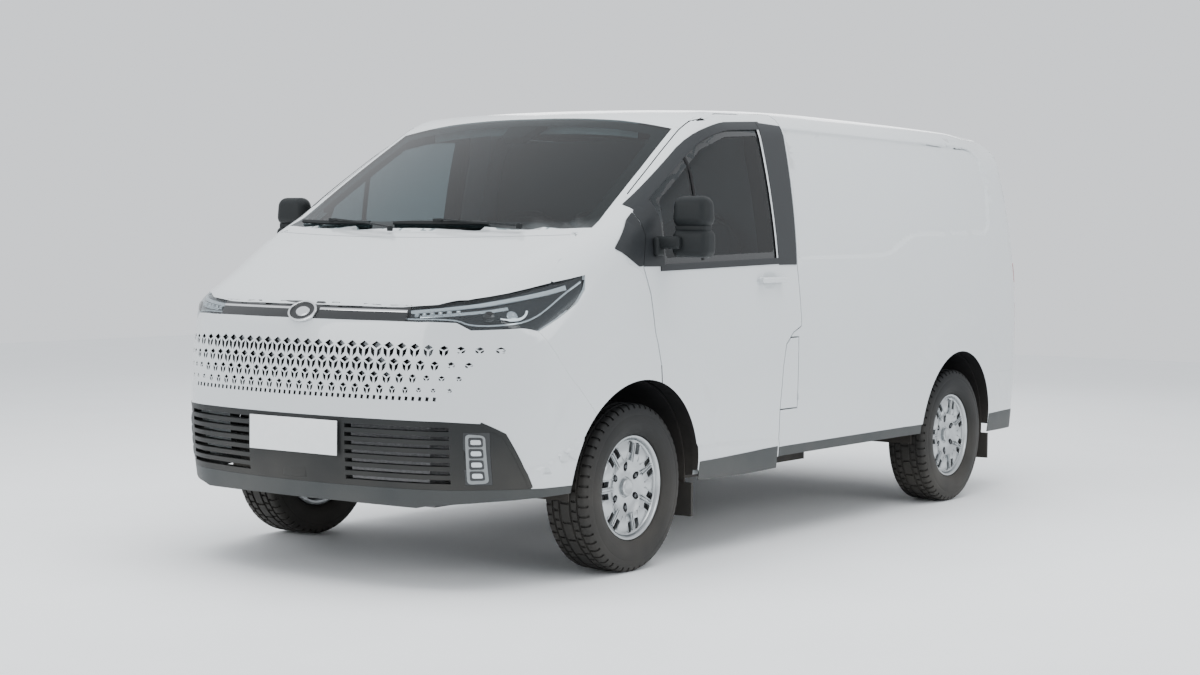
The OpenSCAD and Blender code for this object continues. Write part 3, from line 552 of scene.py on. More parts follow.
def skinPlate(name, outline, view, mat, body, lift=1.5, thick=3.0, cell=30, soften=0, hole=None,
              replaced=()):
    # a thin plate that follows the skin inside an outline
    if soften:
        outline = roundedOutline(outline, soften)
    mesh = bmesh.new()
    loop = [mesh.verts.new((a / 1000, b / 1000, 0)) for a, b in outline]
    for a, b in zip(loop, loop[1:] + loop[:1]):
        mesh.edges.new((a, b))
    if hole:
        ring = [mesh.verts.new((a / 1000, b / 1000, 0)) for a, b in hole]
        for a, b in zip(ring, ring[1:] + ring[:1]):
            mesh.edges.new((a, b))
    bmesh.ops.triangle_fill(mesh, use_beauty=True, use_dissolve=False, edges=mesh.edges[:], normal=(0, 0, 1))
    box = np.array(outline)
    for axis in (0, 1):
        cutInPlanes(mesh, axis, np.arange(box[:, axis].min() + cell, box[:, axis].max(), cell))
    bmesh.ops.dissolve_degenerate(mesh, dist=1e-6, edges=mesh.edges[:])
    mesh.verts.index_update()
    flat = np.array([v.co[:2] for v in mesh.verts]) * 1000
    skin = throughSkin(flat, view)
    slope = slopeAt(skin, 1.5)
    slope /= np.linalg.norm(slope, axis=1)[:, None]
    out = (skin + slope * lift) / 1000
    back = (skin + slope * (lift - thick)) / 1000
    made = bmesh.new()
    upper = [made.verts.new(p) for p in out]
    lower = [made.verts.new(p) for p in back]
    for f in mesh.faces:
        ids = [v.index for v in f.verts]
        made.faces.new([upper[i] for i in ids])
        made.faces.new([lower[i] for i in reversed(ids)])
    for e in mesh.edges:
        if len(e.link_faces) == 1:
            a, b = [v.index for v in e.verts]
            made.faces.new([upper[a], lower[a], lower[b], upper[b]])
    mesh.free()
    bmesh.ops.recalc_face_normals(made, faces=made.faces[:])
    data = bpy.data.meshes.new(name)
    made.to_mesh(data)
    made.free()
    obj = linked(name, data)
    pick(obj)
    bpy.ops.object.shade_smooth_by_angle(angle=math.radians(35))
    return settle(obj, name, mat, body, replaced)


def roundedOutline(points, size, steps=5):
    # rounds an outline's corners with short arcs
    result = []
    n = len(points)
    for i in range(n):
        p, q, r = (np.array(points[(i + k) % n], float) for k in (-1, 0, 1))
        a, b = p - q, r - q
        reachA = min(size, np.linalg.norm(a) * 0.45)
        reachB = min(size, np.linalg.norm(b) * 0.45)
        start, end = q + a / np.linalg.norm(a) * reachA, q + b / np.linalg.norm(b) * reachB
        for k in range(steps + 1):
            t = k / steps
            result.append(tuple((1 - t) ** 2 * start + 2 * t * (1 - t) * q + t * t * end))
    return result


def skinRibbon(name, path, width, view, mat, body, lift=1.5, thick=3.0, step=25, rounding=2):
    # a strip of a given width along a line on the skin
    points = [np.array(p, float) for p in path]
    for _ in range(rounding):
        softer = [points[0]]
        for a, b in zip(points, points[1:]):
            softer += [a * 0.75 + b * 0.25, a * 0.25 + b * 0.75]
        points = softer + [points[-1]]
    line = [points[0]]
    for a, b in zip(points, points[1:]):
        count = max(1, int(np.linalg.norm(b - a) / step))
        line += [a + (b - a) * (k + 1) / count for k in range(count)]
    line = np.array(line)
    n = len(line)
    ahead = np.roll(line, -1, 0) - np.roll(line, 1, 0)
    ahead[0], ahead[-1] = line[1] - line[0], line[-1] - line[-2]
    side = np.stack([-ahead[:, 1], ahead[:, 0]], 1)
    side /= np.linalg.norm(side, axis=1)[:, None]
    widths = np.interp(np.linspace(0, 1, n), np.linspace(0, 1, len(width)), width) if hasattr(width,
            "__len__") else np.full(n, width)
    rows = []
    for across, level in ((-0.5, lift - thick), (-0.5, lift - 0.6), (-0.38, lift), (0.38, lift),
                          (0.5, lift - 0.6), (0.5, lift - thick)):
        rows.append(throughSkin(line + side * (widths * across)[:, None], view, level) / 1000)
    mesh = bmesh.new()
    grid = [[mesh.verts.new(p) for p in row] for row in rows]
    count = len(rows)
    for i in range(n - 1):
        for k in range(count):
            m = (k + 1) % count
            mesh.faces.new([grid[k][i], grid[k][i + 1], grid[m][i + 1], grid[m][i]])
    mesh.faces.new([grid[k][0] for k in range(count)])
    mesh.faces.new([grid[k][n - 1] for k in reversed(range(count))])
    bmesh.ops.recalc_face_normals(mesh, faces=mesh.faces[:])
    data = bpy.data.meshes.new(name)
    mesh.to_mesh(data)
    mesh.free()
    obj = linked(name, data)
    pick(obj)
    bpy.ops.object.shade_smooth_by_angle(angle=math.radians(35))
    return settle(obj, name, mat, body)


# stage, light and camera
stageValues = {"floor": 30.0, "floorColour": (0.90, 0.92, 0.93), "sky": (0.93, 0.96, 1.0),
               "skyStrength": 1.15}
deselect()
bpy.ops.mesh.primitive_grid_add(x_subdivisions=8, y_subdivisions=8, size=stageValues["floor"],
                                location=(0, 0, 0))
floorPlane = bpy.context.object
floorPlane.name = "studio_floor"
floorPlane.data.materials.append(finish("studio_floor_paint", stageValues["floorColour"], 0.55, speckle=0.01,
                                        speckleSize=2, bump=0.02))

world = bpy.data.worlds.new("studio")
world.use_nodes = True
world.node_tree.nodes["Background"].inputs["Color"].default_value = (*stageValues["sky"], 1)
world.node_tree.nodes["Background"].inputs["Strength"].default_value = stageValues["skyStrength"]
bpy.context.scene.world = world

lamps = {
    "overhead": {"at": (1.0, 0.5, 6.5), "to": (0, 0, 0), "size": (9, 5), "power": 620},
    "front": {"at": (8.5, -2.5, 3.6), "to": (1.5, 0, 0.9), "size": (4, 3), "power": 150},
    "side": {"at": (1.5, 8.5, 3.8), "to": (0, 0.5, 0.9), "size": (7, 2.5), "power": 170},
    "back": {"at": (-7.5, -4, 4.5), "to": (-1, 0, 1), "size": (5, 3), "power": 120},
}
for lampName, lamp in lamps.items():
    light = bpy.data.lights.new("lamp_" + lampName, "AREA")
    light.shape = "RECTANGLE"
    light.size, light.size_y = lamp["size"]
    light.energy = lamp["power"]
    holder = bpy.data.objects.new("lamp_" + lampName, light)
    holder.location = lamp["at"]
    holder.rotation_euler = (Vector(lamp["to"]) - Vector(lamp["at"])).to_track_quat("-Z", "Y").to_euler()
    holder.visible_glossy = lampName != "overhead"
    bpy.context.scene.collection.objects.link(holder)

viewpoint = {"at": (8.447, 5.721, 1.380), "yaw": -144.677, "down": 2.785, "roll": 0.568, "lens": 61.32}
camera = bpy.data.cameras.new("camera")
camera.lens = viewpoint["lens"]
camera.sensor_width = 36
camera.clip_end = 200
cameraObject = linked("camera", camera)
yaw, down = math.radians(viewpoint["yaw"]), math.radians(viewpoint["down"])
ahead = Vector((math.cos(yaw) * math.cos(down), math.sin(yaw) * math.cos(down), -math.sin(down)))
rightwards = ahead.cross(Vector((0, 0, 1))).normalized()
upwards = rightwards.cross(ahead)
roll = math.radians(viewpoint["roll"])
across = rightwards * math.cos(roll) + upwards * math.sin(roll)
above = upwards * math.cos(roll) - rightwards * math.sin(roll)
pose = Matrix((across, above, -ahead)).transposed().to_4x4()
pose.translation = Vector(viewpoint["at"])
cameraObject.matrix_world = pose
bpy.context.scene.camera = cameraObject
say("stage")

# body panels
for panel in (("side_left", "body", 2), ("side_right", "body", 2), ("sliding_door", "body", 2),
              ("front_door_left", "front_door_left", 2), ("front_door_right", "front_door_right", 2),
              ("wings", "body", 1), ("rear_bumper", "body", 0), ("roof", "body", 0),
              ("front_frame", "body", 0), ("bonnet", "bonnet", 0),
              ("rear_door_left", "rear_door_left", 0), ("rear_door_right", "rear_door_right", 0),
              ("filler_flap", "filler_flap", 0)):
    node, body, refine = panel
    spacing = {"roof": (80, 60, 0), "side_left": (70, 0, 50), "side_right": (70, 0, 50),
               "sliding_door": (60, 0, 50),
               "rear_door_left": (0, 50, 60), "rear_door_right": (0, 50, 60)}.get(node, (45, 45, 45))
    near = 12.5 if node.startswith("front_door") else 21
    skinPiece(node, node + "_panel", whitePaint, body, grid=spacing, refine=refine, reach=near)
    say(node)


def cornerView(angle):
    return ("corner", math.radians(angle))


def flatten(points, view):
    # outline points given in X, Y, Z become the two numbers that a view wants
    if view == "left" or view == "right":
        return [(p[0], p[2]) for p in points]
    if view == "front" or view == "rear":
        return [(p[1], p[2]) for p in points]
    if view == "top":
        return [(p[0], p[1]) for p in points]
    return [(-p[0] * math.sin(view[1]) + p[1] * math.cos(view[1]), p[2]) for p in points]


def mirrorCopy(obj, name, body, replaced=()):
    data = obj.data.copy()
    co = np.zeros(len(data.vertices) * 3)
    data.vertices.foreach_get("co", co)
    co = co.reshape(-1, 3) * (1, -1, 1)
    data.vertices.foreach_set("co", co.ravel())
    data.flip_normals()
    twin = linked(name, data)
    return settle(twin, name, None, body, replaced)


def addMesh(name, verts, faces):
    data = bpy.data.meshes.new(name)
    data.from_pydata([tuple(v) for v in verts], [], faces)
    obj = linked(name, data)
    return obj


def smoothed(obj, degrees=35):
    pick(obj)
    bpy.ops.object.shade_smooth_by_angle(angle=math.radians(degrees))
    return obj


def placed(obj):
    # puts an object's place, turn and size into its mesh
    pick(obj)
    bpy.ops.object.transform_apply(location=True, rotation=True, scale=True)
    return obj


def block(size, at, radius, segments=4, taper=None, turn=(0, 0, 0)):
    # a moulded block with rounded edges; taper narrows its top
    deselect()
    bpy.ops.mesh.primitive_cube_add(size=1, location=(0, 0, 0))
    obj = bpy.context.object
    resized(obj, size)
    if taper:
        for v in obj.data.vertices:
            if v.co.z > 0:
                v.co.x *= taper[0]
                v.co.y *= taper[1]
    bevelled(obj, radius, segments)
    obj.rotation_euler = turn
    obj.location = at
    placed(obj)
    return smoothed(obj)


def joined(parts):
    deselect()
    for part in parts:
        part.select_set(True)
    bpy.context.view_layer.objects.active = parts[0]
    bpy.ops.object.join()
    return parts[0]


# front bumper, with its field of pressed-through lozenges
field = {"pitch": 56, "rows": [938, 880, 829, 783], "ends": [848, 806, 752, 700],
         "sizes": [1.22, 1.1, 0.94, 0.78], "fineRow": 751}


def lozenges():
    shapes = []
    for row, (z, end, size) in enumerate(zip(field["rows"], field["ends"], field["sizes"])):
        count = int(end / field["pitch"])
        for i in range(-count - 1, count + 2):
            y = (i + (0.5 if row % 2 else 0)) * field["pitch"]
            if abs(y) > end:
                continue
            s = size * (1 - 0.5 * ease(np.array((abs(y) - end * 0.45) / (end * 0.55))))
            drift = 0.5 if abs(y) > end * 0.8 else 1
            shapes.append([(y - 18 * s, z + 14 * s), (y, z + 3 * s), (y + 18 * s, z + 14 * s),
                           (y, z + 26 * s)])
            shapes.append([(y - 21 * s, z + 8 * s), (y - 5 * s, z - 2 * s), (y - 5 * s, z - 26 * s * drift),
                           (y - 17 * s, z - 14 * s * drift)])
            shapes.append([(y + 5 * s, z - 2 * s), (y + 21 * s, z + 8 * s), (y + 17 * s, z - 14 * s * drift),
                           (y + 5 * s, z - 26 * s * drift)])
    for i in range(-23, 24):
        y = i * field["pitch"] / 2 + 7
        shapes.append([(y - 6, field["fineRow"] + 9), (y - 8, field["fineRow"] - 7),
                       (y + 3, field["fineRow"] - 9), (y + 6, field["fineRow"] + 7)])
    return shapes


def inPit(face):
    # the walls and floors of the lozenges, which are black
    x, y, z = face.calc_center_median()
    return (0.73 < z < 0.98 and x > 2.05 and abs(y) < 0.9
            and depthAt(np.array([[x, y, z]]) * 1000)[0] > -16)


outlines = lozenges()
flatPoints = [p for shape in outlines for p in shape]
skinPoints = throughSkin(flatPoints, "front")
cutVerts, cutFaces = [], []
for k in range(len(outlines)):
    ring = skinPoints[4 * k:4 * k + 4]
    first = len(cutVerts)
    back = ring[:, 0].min() - 17
    cutVerts += [(2.62, p[1] / 1000, p[2] / 1000) for p in ring] + [(back / 1000, p[1] / 1000,
            p[2] / 1000) for p in ring]
    cutFaces += [[first + i for i in (0, 1, 2, 3)], [first + i for i in (7, 6, 5, 4)]]
    cutFaces += [[first + i, first + 4 + i, first + 4 + (i + 1) % 4, first + (i + 1) % 4] for i in range(4)]
cutters = addMesh("lozenge_cutters", cutVerts, cutFaces)
turnedOut(cutters)
skinPiece("front_bumper", "front_bumper_panel", whitePaint, "body", grid=(45, 45, 45), refine=1,
          cutters=cutters, reach=12,
                   pit=inPit, pitMat=blackPlastic)
bpy.data.objects.remove(cutters)
say("front bumper")

# strip, badge, grille and lower front
skinPiece("grille_strip", "grille_strip_panel", blackGloss, "body", grid=(0, 40, 0))
skinPiece("lower_grille", "lower_grille_panel", blackPlastic, "body", grid=(0, 45, 40))
skinPiece("front_lip", "front_lip_panel", greyPlastic, "body", grid=(45, 45, 40))
grilleEdge = [(2292, 657), (2218, 613), (2161, 505), (2113, 401)]
for side in ("left", "right"):
    skinRibbon("grille_edge_" + side, grilleEdge, 16, side, blackPlastic, "body", lift=1.8,
               thick=6, rounding=0)
for side, span in (("left", (80, 500)), ("right", (-80, -500))):
    skinRibbon("strip_line_" + side, [(span[0], 1087), (span[1], 1087)], 8, "front", chrome, "body",
               lift=2.2, thick=3)

badgeSize = {"width": 0.150, "height": 0.094, "z": 1.072}
badgeAt = throughSkin([(0, badgeSize["z"] * 1000)], "front")
badgeSlope = slopeAt(badgeAt, 2)[0]
badgeTurn = Vector(badgeSlope).to_track_quat("Z", "Y").to_euler()
deselect()
bpy.ops.mesh.primitive_cylinder_add(vertices=64, radius=0.5, depth=0.012)
badge = bpy.context.object
openTop(badge)
bpy.ops.mesh.inset(thickness=0.07)
bpy.ops.mesh.inset(thickness=0.02)
bpy.ops.transform.translate(value=(0, 0, -0.006))
bpy.ops.mesh.inset(thickness=0.17)
bpy.ops.mesh.inset(thickness=0.02)
bpy.ops.transform.translate(value=(0, 0, 0.004))
bpy.ops.object.mode_set(mode="OBJECT")
badge.data.materials.append(chrome)
badge.data.materials.append(blackGloss)
for f in badge.data.polygons:
    c = f.center
    f.material_index = 1 if f.normal.z > 0.9 and 0.27 < math.hypot(c.x, c.y) < 0.43 else 0
badge.scale = (badgeSize["width"], badgeSize["height"], 1)
placed(badge)
badge.rotation_euler = badgeTurn
badge.location = Vector(badgeAt[0] / 1000) + Vector(badgeSlope).normalized() * 0.006
placed(badge)
bevelled(badge, 0.0015, 2, 40)
smoothed(badge)
settle(badge, "front_badge", None, "body")

satinGrey = finish("fog_bezel", (0.20, 0.215, 0.22), 0.3, coat=0.3, speckle=0.05, bump=0.03)
# fog lamps: a pale bezel with four cells, one above the other
fogSizes = {"low": 421, "high": 618, "inner": 752, "outer": 812, "cells": 4}
for side, sign in (("left", 1), ("right", -1)):
    outline = [(sign * fogSizes["inner"], fogSizes["low"]), (sign * fogSizes["outer"], fogSizes["low"] + 4),
               (sign * (fogSizes["outer"] - 4), fogSizes["high"] - 6),
               (sign * fogSizes["inner"], fogSizes["high"])]
    skinPlate("fog_bezel_" + side, outline, "front", satinGrey, "body", lift=1.5, thick=6,
              cell=20, soften=16)
    tall = (fogSizes["high"] - fogSizes["low"] - 22) / fogSizes["cells"]
    for i in range(fogSizes["cells"]):
        base = fogSizes["low"] + 12 + i * tall
        cell = [(sign * (fogSizes["inner"] + 9), base + 3), (sign * (fogSizes["outer"] - 10), base + 4),
                (sign * (fogSizes["outer"] - 11), base + tall - 4),
                (sign * (fogSizes["inner"] + 9), base + tall - 3)]
        skinPlate("fog_cell_%s_%d" % (side, i), cell, "front", lampSmoke, "body", lift=3.2,
                  thick=4, cell=14, soften=7)
        mid = (fogSizes["inner"] + fogSizes["outer"]) / 2
        lens = [(sign * (mid - 15), base + tall * 0.3), (sign * (mid + 15), base + tall * 0.3),
                (sign * (mid + 13), base + tall * 0.72), (sign * (mid - 15), base + tall * 0.72)]
        skinPlate("fog_lens_%s_%d" % (side, i), lens, "front", lampSilver, "body", lift=4.6,
                  thick=3, cell=14, soften=6)

sensor = block((0.030, 0.125, 0.085), (2.472, 0, 0.455), 0.006)
sensor.data.materials.append(blackPlastic)
settle(sensor, "radar_cover", None, "body")


def numberPlate(name, node, outward, body):
    # a blank plate with two screw heads
    low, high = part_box(node)
    thick = high[0] - low[0]
    mid = ((low[0] + high[0]) / 2, (low[1] + high[1]) / 2, (low[2] + high[2]) / 2)
    plate = block((thick * 0.98, high[1] - low[1] - 0.002, high[2] - low[2] - 0.002), mid, 0.0013, 3)
    plate.data.materials.append(plateWhite)
    parts = [plate]
    for y in (-0.12, 0.12):
        deselect()
        bpy.ops.mesh.primitive_uv_sphere_add(segments=16, ring_count=8, radius=0.006)
        screw = bpy.context.object
        screw.data.materials.append(satinMetal)
        screw.scale = (0.08, 1, 1)
        screw.location = (mid[0] + outward * thick * 0.28, mid[1] + y, mid[2])
        placed(screw)
        smoothed(screw)
        parts.append(screw)
    return settle(joined(parts), name, None, body, (node,))


numberPlate("front_plate_blank", "front_plate", 1, "body")
numberPlate("rear_plate_blank", "rear_plate", -1, "rear_door_left")
say("front")

# headlamps
corner = cornerView(52)
lampTop = [(2371, 485, 1100), (2287, 688, 1127), (2120, 804, 1158), (1963, 884, 1195), (1812, 946, 1230)]
lampBottom = [(1837, 959, 1174), (1884, 959, 1126), (1980, 943, 1068), (2085, 921, 1016), (2143, 891, 1030),
              (2298, 757, 1019), (2329, 703, 1051), (2400, 498, 1050)]
skinPiece("headlamps", "headlamp_housing", lampSmoke, "body", grid=(35, 35, 25), outer=-16, reach=20)
lampGuide = finish("lamp_guide_clear", (0.36, 0.39, 0.41), 0.2, coat=0.6, speckle=0.05, speckleSize=200,
                   bump=0.1, bumpSize=700)
lampShapes = {
    "guide": {"path": [(2372, 505, 1088), (2290, 688, 1108), (2130, 800, 1136), (1985, 876, 1164),
                       (1900, 910, 1186)], "width": [12, 13, 15, 18], "mat": lampGuide, "lift": -7},
    "bezel": {"path": [(2396, 510, 1060), (2330, 700, 1062), (2300, 752, 1034), (2180, 862, 1040),
                       (2090, 910, 1066), (2010, 925, 1112), (1930, 930, 1160), (1840, 945, 1208)],
                       "width": [5, 6, 6, 8], "mat": lampSilver, "lift": -6},
    "hook": {"path": [(2215, 835, 1064), (2180, 860, 1060), (2140, 880, 1064), (2118, 888, 1080),
                      (2112, 890, 1096)], "width": [8, 9, 8], "mat": lampWhite, "lift": -5},
    "ledge": {"path": [(2365, 540, 1072), (2320, 650, 1080), (2250, 745, 1092), (2150, 815, 1108)],
              "width": [10, 12, 12], "mat": lampSilver, "lift": -11},
}
for shapeName, shape in lampShapes.items():
    made = skinRibbon("headlamp_%s_left" % shapeName, flatten(shape["path"], corner), shape["width"], corner,
                      shape["mat"],
                      "body", lift=shape["lift"], thick=6, step=18)
    mirrorCopy(made, "headlamp_%s_right" % shapeName, "body")
for i, (y, z) in enumerate([(540, 1078), (572, 1080), (604, 1083), (636, 1086), (668, 1089), (700, 1092)]):
    at = throughSkin([(y, z)], "front", -12)[0] / 1000
    cell = block((0.014, 0.018, 0.016), at, 0.004, 3)
    cell.data.materials.append(lampSilver if i % 2 else lampGuide)
    settle(cell, "headlamp_cell_left_%d" % i, None, "body")
    mirrorCopy(cell, "headlamp_cell_right_%d" % i, "body")
for i, spot in enumerate([(2245, 800, 1070), (2165, 858, 1082)]):
    at = ontoSkin(np.array([spot], float), -14)[0]
    slope = slopeAt(np.array([at]), 2)[0]
    deselect()
    bpy.ops.mesh.primitive_uv_sphere_add(segments=32, ring_count=16, radius=0.024)
    eye = bpy.context.object
    resized(eye, (1, 1, 0.4))
    eye.rotation_euler = Vector(slope).to_track_quat("Z", "Y").to_euler()
    eye.location = at / 1000
    placed(eye)
    smoothed(eye)
    eye.data.materials.append(lampSilver if i else blackGloss)
    settle(eye, "headlamp_eye_left_%d" % i, None, "body")
    mirrorCopy(eye, "headlamp_eye_right_%d" % i, "body")
cover = skinPlate("headlamp_cover_left", flatten(lampTop + lampBottom, corner), corner, lampCover, "body",
                  lift=-0.5, thick=2.5, cell=30)
mirrorCopy(cover, "headlamp_cover_right", "body")
say("headlamps")


# glass, its painted edge and the pod at its top
skinPiece("windscreen", "windscreen_pane", screenGlass, "body", grid=(60, 60, 0), inner=-6, reach=22)
skinPiece("door_glass_left", "door_glass_left_pane", sideGlass, "front_door_left", grid=(60, 0, 60), outer=-7,
          inner=-14.7, reach=12)
skinPiece("door_glass_right", "door_glass_right_pane", sideGlass, "front_door_right", grid=(60, 0, 60),
          outer=-7, inner=-14.7, reach=12)
screenEdge = {"low": 66, "side": 62, "level": -6.4}
cowlLine = lambda y, ahead: form["cowlX"] + ahead - 2.06e-4 * y * y
outerEdge = [(cowlLine(y, -8), y) for y in range(-800, 801, 100)] + [(1634, 846), (1521, 828), (1226, 800),
        (928, 764), (923, 492), (939, 0)]
outerEdge += [(x, -y) for x, y in reversed(outerEdge[-6:-1])]
low, side = screenEdge["low"], screenEdge["side"]
innerEdge = [(cowlLine(y, -8 - low), y) for y in range(-700, 701, 100)]
innerEdge += [(cowlLine(760, -8 - low - 40), 770), (1480, 828 - side), (1226, 800 - side), (1010, 768 - side),
              (985, 690), (985, 492), (1001, 0)]
innerEdge += [(x, -y) for x, y in reversed(innerEdge[-7:-1])]
skinPlate("windscreen_edge", outerEdge, "top", blackGloss, "body", lift=screenEdge["level"],
          thick=1, cell=60, hole=roundedOutline(innerEdge, 25, 3))
skinPlate("screen_pod", [(945, 95), (945, -95), (1085, -62), (1085, 62)], "top", cabPlastic, "body",
          lift=-9, thick=34, cell=40, soften=14)
say("glass")

# black surrounds and trims of the side windows
windowTrim = {
    "sail": [(1633, 1339), (1496, 1264), (1472, 1265), (1440, 1385), (1452, 1488), (1500, 1455)],
    "corner": [(1468, 1264), (1436, 1384), (1448, 1490), (1408, 1520), (1344, 1556), (1318, 1440),
               (1314, 1292), (1318, 1264)],
    "pillar": [(214, 1266), (372, 1266), (374, 1914), (168, 1908)],
    "band": [(345, 1902), (560, 1890), (702, 1881), (921, 1816), (1180, 1661), (1440, 1505)],
    "foot": [(371, 1284), (850, 1271), (1345, 1258)],
    "glassEdge": [(1326, 1264), (364, 1291), (370, 1892), (698, 1870), (916, 1806), (1326, 1560)],
    "glassHole": [(1290, 1300), (400, 1325), (405, 1855), (690, 1836), (902, 1773), (1290, 1540)],
    "divider": [(1002, 1290), (1016, 1520), (1024, 1755)],
}
for side, sign in (("left", 1), ("right", -1)):
    door = "front_door_" + side
    skinPlate("window_sail_" + side, windowTrim["sail"], side, trimGrey, "body", lift=3.5,
              thick=6, cell=18, soften=8)
    skinPlate("window_corner_" + side, windowTrim["corner"], side, trimGrey, door, lift=3.5, thick=6,
              cell=18, soften=8)
    skinPlate("door_pillar_trim_" + side, windowTrim["pillar"], side, trimGrey, door, lift=3.5, thick=6,
              cell=25, soften=5)
    skinRibbon("window_band_" + side, windowTrim["band"], 36, side, trimGrey, door, lift=3, thick=12)
    skinRibbon("window_foot_" + side, windowTrim["foot"], 28, side, trimGrey, door, lift=4, thick=14)
    skinPlate("window_edge_" + side, windowTrim["glassEdge"], side, blackGloss, door,
              lift=-6.3, thick=0.8, cell=60,
              hole=roundedOutline(windowTrim["glassHole"], 22, 4))
    skinRibbon("window_divider_" + side, windowTrim["divider"], 17, side, rubberSeal, door, lift=-3,
               thick=16)
say("window trims")

# mirrors: an upper and a lower shell, an arm and a frame, with the glass behind
mirror = {"x": 1309, "inner": 1042, "outer": 1224, "low": 1302, "split": 1424, "high": 1558, "deep": 100}


def mirrorParts():
    middle = (mirror["inner"] + mirror["outer"]) / 2000
    width = (mirror["outer"] - mirror["inner"]) / 1000
    upper = block((mirror["deep"] / 1000, width, (mirror["high"] - mirror["split"] - 4) / 1000),
                  (mirror["x"] / 1000, middle, (mirror["high"] + mirror["split"] + 4) / 2000), 0.040, 7,
                  taper=(0.92, 0.9))
    lower = block((mirror["deep"] / 1000 * 0.94, width * 0.95, (mirror["split"] - mirror["low"] - 4) / 1000),
                  (mirror["x"] / 1000, middle + 0.002, (mirror["split"] + mirror["low"] - 4) / 2000), 0.030,
                  6)
    waist = block((0.060, width * 0.82, 0.03), (mirror["x"] / 1000, middle, mirror["split"] / 1000), 0.008, 3)
    arm = block((0.050, 0.118, 0.052), (1.356, 1.046, 1.364), 0.012, 4, turn=(0, 0, 0.0))
    foot = block((0.058, 0.030, 0.080), (1.366, 0.998, 1.345), 0.012, 4)
    return joined([upper, lower, waist, arm, foot])


mirrorLeft = mirrorParts()
mirrorLeft.data.materials.append(blackPlastic)
settle(mirrorLeft, "mirror_left_shell", None, "front_door_left", ("mirror_left",))
mirrorGlass = block((0.004, 0.104, 0.096), (1.2610, 1.138, 1.488), 0.0018, 3)
mirrorGlass.data.materials.append(chrome)
settle(mirrorGlass, "mirror_left_glass", None, "front_door_left")
mirrorGlassLow = block((0.004, 0.100, 0.070), (1.2630, 1.138, 1.362), 0.0018, 3)
mirrorGlassLow.data.materials.append(chrome)
settle(mirrorGlassLow, "mirror_left_lower_glass", None, "front_door_left")
mirrorCopy(mirrorLeft, "mirror_right_shell", "front_door_right", ("mirror_right",))
mirrorCopy(mirrorGlass, "mirror_right_glass", "front_door_right")
mirrorCopy(mirrorGlassLow, "mirror_right_lower_glass", "front_door_right")

# door handles in shallow cups; each cup is a plate on the skin whose darker white is painted shade
handle = {"x": 462, "z": 1199, "long": 0.215, "tall": 0.026}


def doorHandle(x, z, name, body, sign):
    long = handle["long"]
    at = throughSkin([(x, z)], "left")[0] / 1000
    grip = block((long, 0.016, handle["tall"]), (at[0], at[1] + 0.026, at[2]), 0.0075, 5)
    ends = [block((0.040, 0.036, handle["tall"] * 0.94),
                  (at[0] + s * (long / 2 - 0.02), at[1] + 0.012, at[2]), 0.009, 5) for s in (-1, 1)]
    bar = joined([grip] + ends)
    bar.data.materials.append(whitePaint)
    outline = [(x - 66, z - 2), (x - 50, z + 30), (x, z + 40), (x + 50, z + 30), (x + 66, z - 2),
               (x + 50, z - 32), (x, z - 40), (x - 50, z - 32)]
    # the cup plate's white is darker than the body paint: painted shade of the cup's hollow
    cup = skinPlate(name + "_cup", outline, "left", shadedCupWhite, body, lift=0.8, thick=3, cell=16,
                    soften=24)
    if sign < 0:
        twin = mirrorCopy(bar, name, body)
        bpy.data.objects.remove(bar)
        cupTwin = mirrorCopy(cup, name + "_cup_plate", body)
        bpy.data.objects.remove(cup)
        return [twin, cupTwin]
    settle(bar, name, None, body)
    return [bar, cup]


# a darker copy of the body white, painted shade for the handle cups
shadedCupWhite = finish("handle_cup_painted_shade", (0.50, 0.53, 0.545), 0.3, coat=0.5, speckle=0.01, speckleSize=20,
                    bump=0.02)
for name, body, sign, x in (("front_door_left_handle", "front_door_left", 1, 462),
                            ("front_door_right_handle", "front_door_right", -1, 462),
                            ("sliding_door_handle", "body", -1, 60)):
    for piece in doorHandle(x, handle["z"], name, body, sign):
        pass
skinRibbon("sliding_door_rail", [(-150, 1232), (-1930, 1232)], 26, "right", blackPlastic, "body",
           lift=2, thick=4)
say("mirrors and handles")

# cladding, lamps and details at the sides and back
skinPiece("sill_trims", "sill_trim_panels", greyPlastic, "body", grid=(60, 0, 40))
skinPiece("tail_lamps", "tail_lamp_lenses", lampRed, "body", grid=(0, 25, 40))
for side, sign in (("left", 1), ("right", -1)):
    skinRibbon("door_cladding_" + side, [(1040, 384), (900, 381), (700, 381), (376, 388)],
               [76, 84, 92, 96, 100, 100], side, greyPlastic,
               "front_door_" + side, lift=2.5, thick=4)
    skinRibbon("bumper_cladding_" + side, [(-1960, 386), (-2200, 386), (-2330, 386)], [100, 104, 104], side,
               greyPlastic, "body", lift=2.5, thick=4)
skinRibbon("rear_step_pad", [(-820, 640), (820, 640)], 32, "rear", greyPlastic, "body",
           lift=2.5, thick=4)
skinRibbon("rear_bumper_foot", [(-900, 384), (900, 384)], 108, "rear", greyPlastic, "body",
           lift=2.5, thick=4)
for side, sign in (("left", 1), ("right", -1)):
    for i, (z0, z1, mat) in enumerate([(1150, 1262, lampRed), (1052, 1138, lampWhite), (946, 1040, lampRed),
                                       (818, 934, lampRed)]):
        cell = [(sign * 880, z0), (sign * 938, z0), (sign * 938, z1), (sign * 880, z1)]
        skinPlate("tail_cell_%s_%d" % (side, i), cell, "rear", mat, "body", lift=1.5, thick=3,
                  cell=25, soften=12)
handleBack = block((0.03, 0.21, 0.05), (-2.4825, -0.13, 0.985), 0.008, 4)
handleBack.data.materials.append(blackPlastic)
settle(handleBack, "rear_door_handle", None, "rear_door_right")
skinPlate("rear_door_recess_left", [(70, 1250), (800, 1250), (770, 1700), (740, 1790), (70, 1790)], "rear",
          whitePaint, "rear_door_left", lift=2.5, thick=5, cell=50, soften=50)
